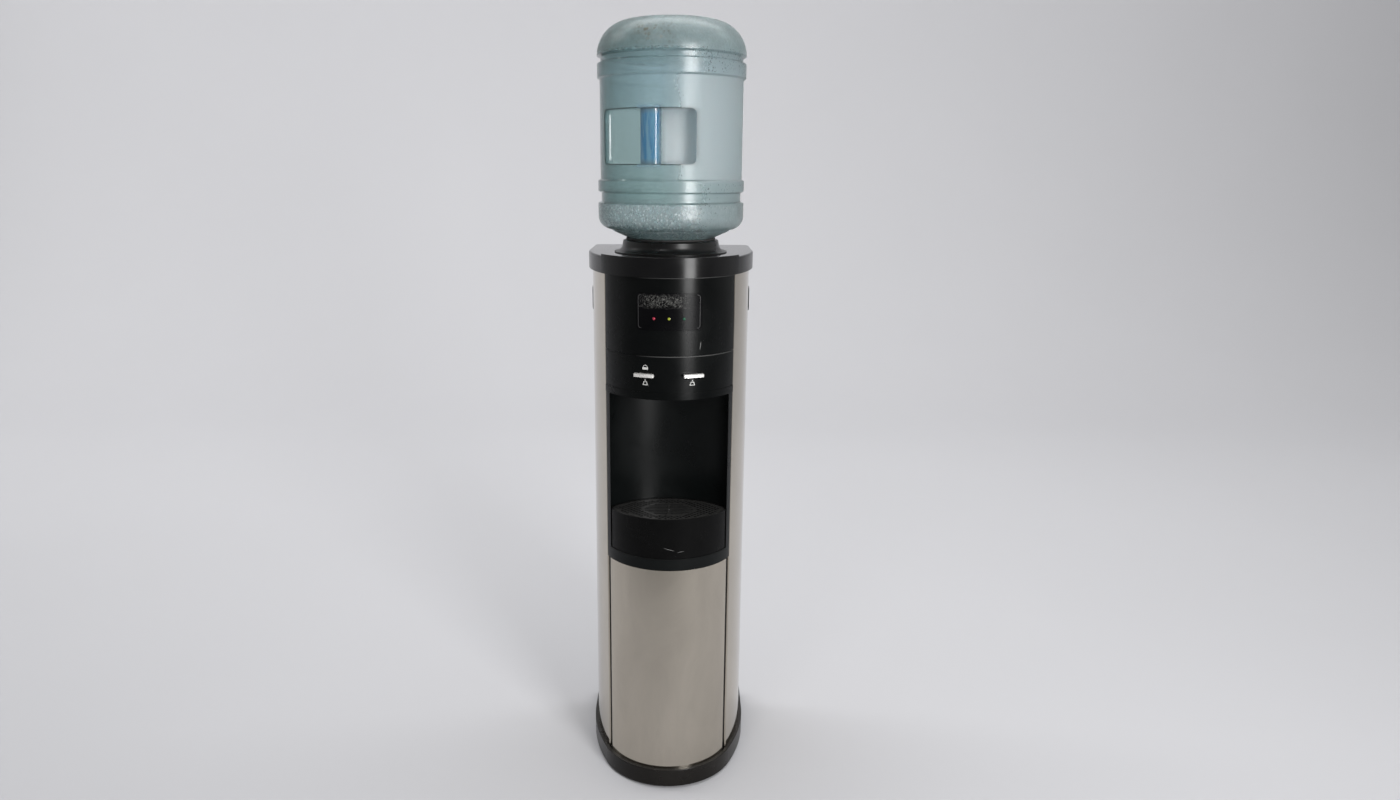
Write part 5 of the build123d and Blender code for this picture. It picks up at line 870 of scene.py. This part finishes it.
@dataclass
class PrintedMarks:
    """The pictograms beside the levers and the thin frame round the display window, laid on the curved front."""

    thickness: float = 0.00025
    weld: float = 0.00002
    line: float = 0.0013
    facets: int = 14
    lock_width: float = 0.0100
    lock_height: float = 0.0042
    lock_rise: float = 0.0114
    arch_radius: float = 0.0037
    arch_line: float = 0.000975
    arch_start: float = 0.0002
    cup_top: float = 0.0058
    cup_foot: float = 0.0098
    cup_height: float = 0.0068
    cup_drop: float = 0.0155
    drop: float = 0.0012
    frame_play: float = 0.006
    frame_corner: float = 0.005
    frame_steps: int = 5
    frame_line: float = 0.0006
    frame_cuts: int = 18
    straight: float = 0.0001

    def upright_plane(self, width: float, height: float) -> Object:
        """An upright rectangle in the XZ plane, facing the front.

        Args:
            width: along X.
            height: along Z.

        Returns:
            The object.
        """
        Bench.clear()
        bpy.ops.mesh.primitive_plane_add(size=1.0, rotation=(QUARTER_TURN, 0, 0))
        plane = bpy.context.active_object
        plane.scale = (width, height, 1.0)
        Bench.settle(plane, "plate")
        return plane

    def outline(self, plate: Object, line: float) -> None:
        """Leaves only a plate's border.

        Args:
            plate: the flat plate.
            line: the border's width.
        """
        Bench.edit(plate)
        bpy.ops.mesh.select_mode(type="FACE")
        bpy.ops.mesh.select_all(action="SELECT")
        bpy.ops.mesh.inset(thickness=line, depth=0)
        bpy.ops.mesh.delete(type="ONLY_FACE")

    def lock(self) -> Object:
        """A padlock: a solid body under an open arch.

        Returns:
            The flat mark.
        """
        body = self.upright_plane(self.lock_width, self.lock_height)
        arch = self.upright_plane(self.arch_line, self.arch_start)
        arch.location = (self.arch_radius, 0, self.lock_height / 2)
        Bench.settle(arch, "lock_arch")
        top = max(vertex.co.z for vertex in arch.data.vertices)
        Bench.pick_edges(arch, lambda end: end.z > top - TOUCH)
        centre = (0, 0, (self.lock_height + self.arch_start) / 2)
        bpy.ops.mesh.spin(steps=self.facets, angle=math.pi, center=centre, axis=(0, 1, 0))
        return Bench.join([body, arch], "lock_mark")

    def cup(self) -> Object:
        """A cup in outline, wider at its foot, with a drop above it.

        Returns:
            The flat mark.
        """
        plate = self.upright_plane(self.cup_foot, self.cup_height)
        for vertex in plate.data.vertices:
            if vertex.co.z > 0:
                vertex.co.x *= self.cup_top / self.cup_foot
        self.outline(plate, self.line)
        Bench.clear()
        bpy.ops.mesh.primitive_circle_add(
            vertices=self.facets, radius=self.drop, fill_type="NGON", rotation=(QUARTER_TURN, 0, 0)
        )
        drop = bpy.context.active_object
        drop.location = (0, 0, self.cup_height / 2 + 2.0 * self.drop)
        Bench.settle(drop, "cup_drop")
        tip = max(drop.data.vertices, key=lambda vertex: vertex.co.z)
        tip.co.z += self.drop
        return Bench.join([plate, drop], "cup_mark")

    def window_frame(self) -> Object:
        """A thin rounded frame just inside the display window's edge, with points enough to bend.

        Returns:
            The flat mark.
        """
        low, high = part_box("display_window")
        plate = self.upright_plane(high[0] - low[0] - self.frame_play, high[2] - low[2] - self.frame_play)
        plate.location = (0, 0, (low[2] + high[2]) / 2)
        Bench.settle(plate, "window_frame")
        Bench.edit(plate)
        bpy.ops.mesh.bevel(offset=self.frame_corner, segments=self.frame_steps, affect="VERTICES")
        bpy.ops.mesh.select_all(action="SELECT")
        bpy.ops.mesh.subdivide(number_cuts=self.frame_cuts)
        bpy.ops.mesh.select_all(action="SELECT")
        bpy.ops.mesh.dissolve_limited(angle_limit=self.straight, use_dissolve_boundaries=False)
        self.outline(plate, self.frame_line)
        return plate

    def lay(self, mark: Object, name: str, x: float, z: float, radius: float) -> Object:
        """Thickens a flat mark and wraps it on the curved front.

        Args:
            mark: the flat mark, in the XZ plane.
            name: its name.
            x: where its middle goes.
            z: its height.
            radius: the front's radius there.

        Returns:
            The finished object.
        """
        mark.location = (x, 0, z)
        Bench.settle(mark, name)
        Bench.edit(mark)
        bpy.ops.mesh.remove_doubles(threshold=self.weld)
        bpy.ops.mesh.extrude_region_move(TRANSFORM_OT_translate={"value": (0, -self.thickness, 0)})
        bpy.ops.mesh.select_all(action="SELECT")
        bpy.ops.mesh.normals_make_consistent(inside=False)
        bpy.ops.object.mode_set(mode="OBJECT")
        for vertex in mark.data.vertices:
            vertex.co.y += NOSE_Y - math.sqrt(radius**2 - vertex.co.x**2)
        return mark

    def build(self, ink: Material, faint: Material) -> None:
        """Makes all the marks.

        Args:
            ink: the pictograms' material.
            faint: the window frame's material.
        """
        lock = self.lay(self.lock(), "lock_mark", -TAP_X, LEVER_Z + self.lock_rise, NOSE_RADIUS)
        hot = self.lay(self.cup(), "hot_cup_mark", -TAP_X, LEVER_Z - self.cup_drop, NOSE_RADIUS)
        cold = self.lay(self.cup(), "cold_cup_mark", TAP_X, LEVER_Z - self.cup_drop, NOSE_RADIUS)
        for mark in (lock, hot, cold):
            Bench.hand_over(mark, Slot.SATIN_BLACK, ink)
        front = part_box("display_window")[0][1]
        window = self.lay(self.window_frame(), "window_frame", 0.0, 0.0, NOSE_Y - front)
        Bench.hand_over(window, Slot.GLOSS_BLACK, faint)


@dataclass
class PanelScrews:
    """Cross-head screws that hold the back flanges, the tank shelf and the tank bracket to the back panel."""

    head_radius: float = 0.0036
    head_height: float = 0.0019
    head_sides: int = 28
    rim: float = 0.0009
    rim_steps: int = 3
    slot_length: float = 0.0042
    slot_width: float = 0.0009
    slot_depth: float = 0.0010
    rows: tuple[float, ...] = (0.080, 0.290, 0.520, 0.750, 0.975)
    flange_x: float = 0.1435
    shelf_x: tuple[float, ...] = (-0.118, -0.040, 0.040, 0.118)
    shelf_rise: float = 0.008
    bracket_x: tuple[float, ...] = (-0.030, 0.030)
    bracket_rise: float = 0.030

    def model(self) -> Object:
        """One screw head with a rounded rim and a cross recess, its back on Y = 0.

        Returns:
            The object.
        """
        Bench.clear()
        bpy.ops.mesh.primitive_cylinder_add(
            vertices=self.head_sides, radius=self.head_radius, depth=self.head_height,
            location=(0, self.head_height / 2, 0), rotation=(-QUARTER_TURN, 0, 0),
        )
        head = bpy.context.active_object
        Bench.settle(head, "panel_screw")
        Bench.pick_edges(head, lambda end: end.y > self.head_height - TOUCH)
        bpy.ops.mesh.bevel(offset=self.rim, segments=self.rim_steps)
        for turn in (0.0, QUARTER_TURN):
            Bench.clear()
            bpy.ops.mesh.primitive_cube_add(size=1.0, location=(0, self.head_height, 0), rotation=(0, turn, 0))
            blade = bpy.context.active_object
            blade.scale = (self.slot_length, 2 * self.slot_depth, self.slot_width)
            Bench.settle(blade, "slot_blade")
            Bench.cut(head, blade)
        Bench.smooth(head)
        return head

    def places(self) -> list[Point]:
        """Finds where the screws go, on the back faces of the flanges and the panel.

        Returns:
            The middles of the screws' backs.
        """
        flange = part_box("side_panel_right")[1][1]
        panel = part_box("back_panel")[1][1]
        spots = [(side * self.flange_x, flange, row) for side in (-1, 1) for row in self.rows]
        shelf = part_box("tank_shelf")[0][2] + self.shelf_rise
        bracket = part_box("hot_tank_bracket")[0][2] + self.bracket_rise
        spots += [(x, panel, shelf) for x in self.shelf_x]
        spots += [(x, panel, bracket) for x in self.bracket_x]
        return spots

    def build(self, metal: Material) -> None:
        """Copies the screw to every place.

        Args:
            metal: the screws' material.
        """
        master = self.model()
        for number, place in enumerate(self.places()):
            mesh = master.data.copy()
            mesh.transform(Matrix.Translation(Vector(place)))
            screw = bpy.data.objects.new(f"panel_screw_{number + 1:02d}", mesh)
            bpy.context.scene.collection.objects.link(screw)
            Bench.hand_over(screw, Slot.STEEL, metal)
        bpy.data.objects.remove(master, do_unlink=True)


@dataclass
class ValveSprings:
    """The two valve springs, as coils in place of the solid springs."""

    wire: float = 0.00045
    turns: int = 5
    steps: int = 26
    sides: int = 10
    smooth_angle: float = 50.0
    keep: float = 0.655
    stems: tuple[tuple[str, str], ...] = (
        ("hot_valve_spring", "hot_stem_lift"),
        ("cold_valve_spring", "cold_stem_lift"),
    )

    def coil(self, node: str, name: str) -> Object:
        """Winds a round wire into the room that a solid spring takes.

        Args:
            node: the solid spring.
            name: the coil's name.

        Returns:
            The coil.
        """
        low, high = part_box(node)
        middle = (low + high) / 2
        radius = (high.x - low.x) / 2 - self.wire
        Bench.clear()
        bpy.ops.mesh.primitive_circle_add(
            vertices=self.sides, radius=self.wire, location=(radius, 0, 0), rotation=(QUARTER_TURN, 0, 0)
        )
        piece = bpy.context.active_object
        Bench.settle(piece, name)
        winding = piece.modifiers.new("winding", "SCREW")
        winding.axis = "Z"
        winding.iterations = self.turns
        winding.steps = winding.render_steps = self.steps
        winding.screw_offset = (high.z - low.z - 2 * self.wire) / self.turns
        bpy.ops.object.modifier_apply(modifier=winding.name)
        bpy.ops.object.mode_set(mode="EDIT")
        bpy.ops.mesh.select_mode(type="EDGE")
        bpy.ops.mesh.select_all(action="DESELECT")
        bpy.ops.mesh.select_non_manifold()
        bpy.ops.mesh.fill_holes(sides=0)
        bpy.ops.mesh.select_all(action="SELECT")
        bpy.ops.mesh.normals_make_consistent(inside=False)
        piece.location = (middle.x, middle.y, low.z + self.wire)
        Bench.settle(piece, name)
        Bench.smooth(piece, self.smooth_angle)
        return piece

    def build(self, metal: Material) -> None:
        """Puts a coil in place of each solid spring.

        Args:
            metal: the coils' material.
        """
        for node, joint in self.stems:
            piece = self.coil(node, node.replace("valve_spring", "spring_coil"))
            Bench.hand_over(piece, Slot.STEEL, metal)
            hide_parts(node)
            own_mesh(piece)


# Each finish with the solids that take it. The number after a colour is the roughness.
COATS: dict[str, Finish] = {
    "top_cover": Moulding(
        "lid_gloss_black", (0.003, 0.003, 0.0032), 0.20, grain=260.0, depth=0.00003, dust=0.15, sheen=0.24, crown=0.4
    ),
    "bottle_collar": Moulding(
        "collar_black", (0.004, 0.004, 0.004), 0.30, grain=400.0, depth=0.00005, dust=0.3, sheen=0.3
    ),
    "base_plinth": Moulding(
        "plinth_gloss_black", (0.006, 0.005, 0.004), 0.26, grain=300.0, depth=0.00005, dust=0.4, sheen=0.22
    ),
    "display_window": Scuffed(
        "window_black", (0.0018, 0.0018, 0.0022), 0.24, grain=200.0, depth=0.00002, dust=0.1, sheen=0.10,
        rubbed=(((-0.010, -0.160, 0.961), (0.060, 0.04, 0.017)),),
    ),
    "tap_fascia display_fascia": Scuffed(
        "fascia_satin_black", (0.0016, 0.0020, 0.0020), 0.24, grain=700.0, depth=0.00005, dust=0.2, sheen=0.14,
        # Heights of painted highlights along the seams.
        painted_highlight_heights=(0.8628, 1.0014), scratches=(((0.0557, -0.1585, 0.8820), (0.0008, 0.01, 0.0090), (0, 0.12, 0)),),
    ),
    "alcove_liner": Moulding("liner_satin_black", (0.0018, 0.0024, 0.0024), 0.29, grain=800.0, sheen=0.17),
    "drip_tray": Scuffed(
        "tray_black", (0.0015, 0.0015, 0.0015), 0.24, grain=800.0, depth=0.00005, dust=0.3, sheen=0.10,
        scratches=(
            ((0.002, -0.171, 0.499), (0.0125, 0.01, 0.0006), (0, 0.28, 0)),
            ((0.024, -0.168, 0.494), (0.0080, 0.01, 0.0004), (0, -0.15, 0)),
        ),
    ),
    "drip_grille": Moulding(
        "grille_black", (0.012, 0.012, 0.012), 0.20, grain=600.0, depth=0.00005, dust=0.5, sheen=0.8
    ),
    "edge_trims carry_grip_left carry_grip_right switch_bezel condenser_clips"
    " start_relay drain_fitting drain_cap cord_gland": Moulding(
        "trim_matt_black", (0.003, 0.003, 0.003), 0.46, grain=1000.0, depth=0.0001, dust=0.3, sheen=0.15
    ),
    "side_panel_left side_panel_right lower_front_panel": PolishedSteel("polished_steel"),
    "hot_lever cold_lever": BareMetal(
        "lever_bright_plate", (0.88, 0.87, 0.84), 0.30, streak=(12.0, 1.0, 1.0), metal=0.45
    ),
    "back_panel tank_shelf hot_tank_bracket base_plate tap_bracket": ZincSheet("zinc_sheet"),
    "compressor condenser_tube condenser_wires": Enamel("black_enamel"),
    "cold_tank hot_tank lever_pins hot_valve_spring cold_valve_spring tank_thermostats": BareMetal(
        "tank_steel", (0.58, 0.58, 0.57), 0.28
    ),
    "evaporator_coil refrigerant_lines filter_drier": BareMetal(
        "copper_tube", (0.72, 0.36, 0.22), 0.3, streak=(1.0, 1.0, 4.0)
    ),
    "heater_band": Enamel("heater_band", (0.34, 0.31, 0.26), 0.5),
    "feet compressor_grommets collar_seal": Soft("black_rubber", (0.018, 0.018, 0.018), 0.72),
    "water_hoses": Soft("silicone_hose", (0.66, 0.66, 0.63), 0.45, pores=300.0, depth=0.0001),
    "tank_insulation": Soft("tank_foam", (0.82, 0.80, 0.72), 0.9, pores=260.0, depth=0.0009),
    "hot_valve_body cold_valve_body hot_valve_stem cold_valve_stem feed_spike": Moulding(
        "white_moulding", (0.72, 0.72, 0.69), 0.38, dust=0.2
    ),
    "bottle_cap": Moulding("bottle_cap_blue", (0.10, 0.24, 0.48), 0.35, grain=700.0, dust=0.1),
    "indicator_board": Moulding(
        "lamp_board_green", (0.03, 0.16, 0.07), 0.4, grain=500.0, depth=0.00005, dust=0.1
    ),
    "hot_lamp": LampLens("red_lamp", (0.36, 0.02, 0.05), glow=0.12),
    "power_lamp": LampLens("yellow_lamp", (0.30, 0.34, 0.03), glow=0.20),
    "cold_lamp": LampLens("green_lamp", (0.01, 0.10, 0.05), glow=0.03),
    "heater_switch": Moulding("red_rocker", (0.42, 0.02, 0.02), 0.3, grain=700.0, depth=0.00005, dust=0.15),
    "cooler_switch": Moulding("green_rocker", (0.02, 0.22, 0.06), 0.3, grain=700.0, depth=0.00005, dust=0.15),
    "bottle": BottlePlastic("bottle_plastic"),
}


@dataclass
class Dressing:
    """Puts a finish on every solid of the dispenser."""

    coats: dict[str, Finish] = field(default_factory=lambda: COATS)

    def apply(self) -> None:
        """Makes each finish once and gives it to its solids."""
        materials: dict[str, Material] = {}
        for nodes, finish in self.coats.items():
            materials.update(dict.fromkeys(nodes.split(), finish.material()))
        for name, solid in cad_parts.items():
            solid.data.materials.clear()
            solid.data.materials.append(materials[name])
        log.info("dressed %d solids in %d finishes", len(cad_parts), len(self.coats))


@dataclass(frozen=True)
class SoftBox:
    """A rectangular lamp that clear plastic doesn't show."""

    name: str
    place: Point
    aim: Point
    size: Span
    power: float

    def build(self) -> None:
        """Puts the lamp in the scene, turned to its aim."""
        lamp = bpy.data.lights.new(self.name, "AREA")
        lamp.shape = "RECTANGLE"
        lamp.size, lamp.size_y = self.size
        lamp.energy = self.power
        holder = bpy.data.objects.new(self.name, lamp)
        holder.location = self.place
        holder.rotation_euler = (Vector(self.aim) - Vector(self.place)).to_track_quat("-Z", "Y").to_euler()
        holder.visible_transmission = False
        bpy.context.scene.collection.objects.link(holder)


@dataclass
class Studio:
    """Pale floor and backdrop, soft boxes and the camera."""

    floor_size: float = 14.0
    floor_y: float = -2.0
    wall_height: float = 7.0
    sweep: float = 2.4
    sweep_steps: int = 18
    smooth_angle: float = 60.0
    floor_colour: Colour = (0.46, 0.46, 0.475)
    # Painted shade: the floor's colour in front, and where it fades in.
    front_shade_colour: Colour = (0.28, 0.28, 0.285)
    front_shade_y: Span = (-0.26, -1.20)
    boxes: tuple[SoftBox, ...] = (
        SoftBox("key_box", (1.44, -2.52, 1.40), (0, -0.1, 0.85), (0.80, 2.1), 92.0),
        SoftBox("brow_box", (-0.85, -2.0, 3.1), (0, -0.1, 1.3), (0.5, 0.3), 9.0),
        SoftBox("top_box", (0, 0.3, 3.6), (0, 0.2, 0), (2.6, 2.6), 36.0),
        SoftBox("backdrop_wash", (-0.6, 1.2, 4.6), (-0.6, 4.6, 1.2), (11.0, 1.2), 290.0),
        SoftBox("left_wash", (-5.0, 1.2, 4.6), (-5.0, 4.7, 1.1), (3.0, 1.2), 80.0),
    )
    air_colours: tuple[Colour, Colour] = ((0.42, 0.42, 0.425), (0.85, 0.85, 0.86))
    air_fade: Span = (0.18, 0.52)
    air_strength: float = 0.65
    sensor: float = 36.0
    lens: float = 24.418
    pitch: float = 13.577
    yaw: float = 0.747
    roll: float = 0.305
    shift: float = 0.0215
    eye: Point = (0.0237, -1.8166, 1.1828)
    sight: float = 60.0

    def backdrop(self) -> None:
        """Makes a floor that sweeps up into a wall far behind, with painted shade that makes it darker in front of
        the dispenser.
        """
        Bench.clear()
        bpy.ops.mesh.primitive_plane_add(size=self.floor_size, location=(0, self.floor_y, 0))
        floor = bpy.context.active_object
        Bench.settle(floor, "studio_floor")
        back = self.floor_y + self.floor_size / 2 - TOUCH
        Bench.pick_edges(floor, lambda end: end.y > back)
        bpy.ops.mesh.extrude_region_move(TRANSFORM_OT_translate={"value": (0, 0, self.wall_height)})
        Bench.pick_edges(floor, lambda end: end.y > back and end.z < TOUCH)
        bpy.ops.mesh.bevel(offset=self.sweep, segments=self.sweep_steps)
        Bench.smooth(floor, self.smooth_angle)
        board = Board("studio_paper")
        paper = board.blend(board.noise(1.2, 3.0), shade(self.floor_colour, 0.97), self.floor_colour)
        # Painted shade: the floor darkens towards the front, for dark reflections in the steel and black plastics.
        front_shade = board.start.parts()[1].rise(*self.front_shade_y)
        board.coat(Base_Color=board.blend(front_shade, paper, self.front_shade_colour), Roughness=0.9, Specular_IOR_Level=0.1)
        floor.data.materials.append(board.material)

    def air(self) -> None:
        """Makes light from all round that is dimmer in front."""
        world = bpy.data.worlds.new("studio_air")
        world.use_nodes = True
        nodes, links = world.node_tree.nodes, world.node_tree.links
        heading = nodes.new("ShaderNodeTexCoord")
        split = nodes.new("ShaderNodeSeparateXYZ")
        links.new(heading.outputs["Generated"], split.inputs["Vector"])
        fold = nodes.new("ShaderNodeMapRange")
        fold.inputs["From Min"].default_value = -1.0
        links.new(split.outputs["Y"], fold.inputs["Value"])
        ramp = nodes.new("ShaderNodeValToRGB")
        ramp.color_ramp.interpolation = "EASE"
        for element, colour, position in zip(ramp.color_ramp.elements, self.air_colours, self.air_fade):
            element.color = (*colour, 1.0)
            element.position = position
        links.new(fold.outputs["Result"], ramp.inputs["Fac"])
        links.new(ramp.outputs["Color"], nodes["Background"].inputs["Color"])
        nodes["Background"].inputs["Strength"].default_value = self.air_strength
        bpy.context.scene.world = world

    def camera(self) -> None:
        """Sets the photograph's view."""
        data = bpy.data.cameras.new("photo_camera")
        data.sensor_width = self.sensor
        data.lens = self.lens
        data.shift_x = self.shift
        data.clip_end = self.sight
        holder = bpy.data.objects.new("photo_camera", data)
        holder.location = self.eye
        turn = Matrix.Rotation(math.radians(self.yaw), 4, "Z")
        tilt = Matrix.Rotation(math.radians(90.0 - self.pitch), 4, "X")
        lean = Matrix.Rotation(math.radians(self.roll), 4, "Z")
        holder.rotation_euler = (turn @ tilt @ lean).to_euler()
        bpy.context.scene.collection.objects.link(holder)
        bpy.context.scene.camera = holder

    def build(self) -> None:
        """Sets up the whole studio."""
        self.backdrop()
        for box in self.boxes:
            box.build()
        self.air()
        self.camera()
        bpy.context.scene.view_settings.view_transform = "Standard"


def main() -> None:
    """Builds the studio, dresses the solids and adds the small pieces."""
    Studio().build()
    Dressing().apply()
    ink = PrintedInk("pale_ink").material()
    faint = PrintedInk("faint_frame", (0.07, 0.07, 0.07)).material()
    PrintedMarks().build(ink, faint)
    PanelScrews().build(BareMetal("screw_zinc", (0.55, 0.55, 0.54), 0.3).material())
    ValveSprings().build(BareMetal("spring_wire", (0.58, 0.58, 0.57), 0.28).material())


if __name__ == "__main__":
    main()
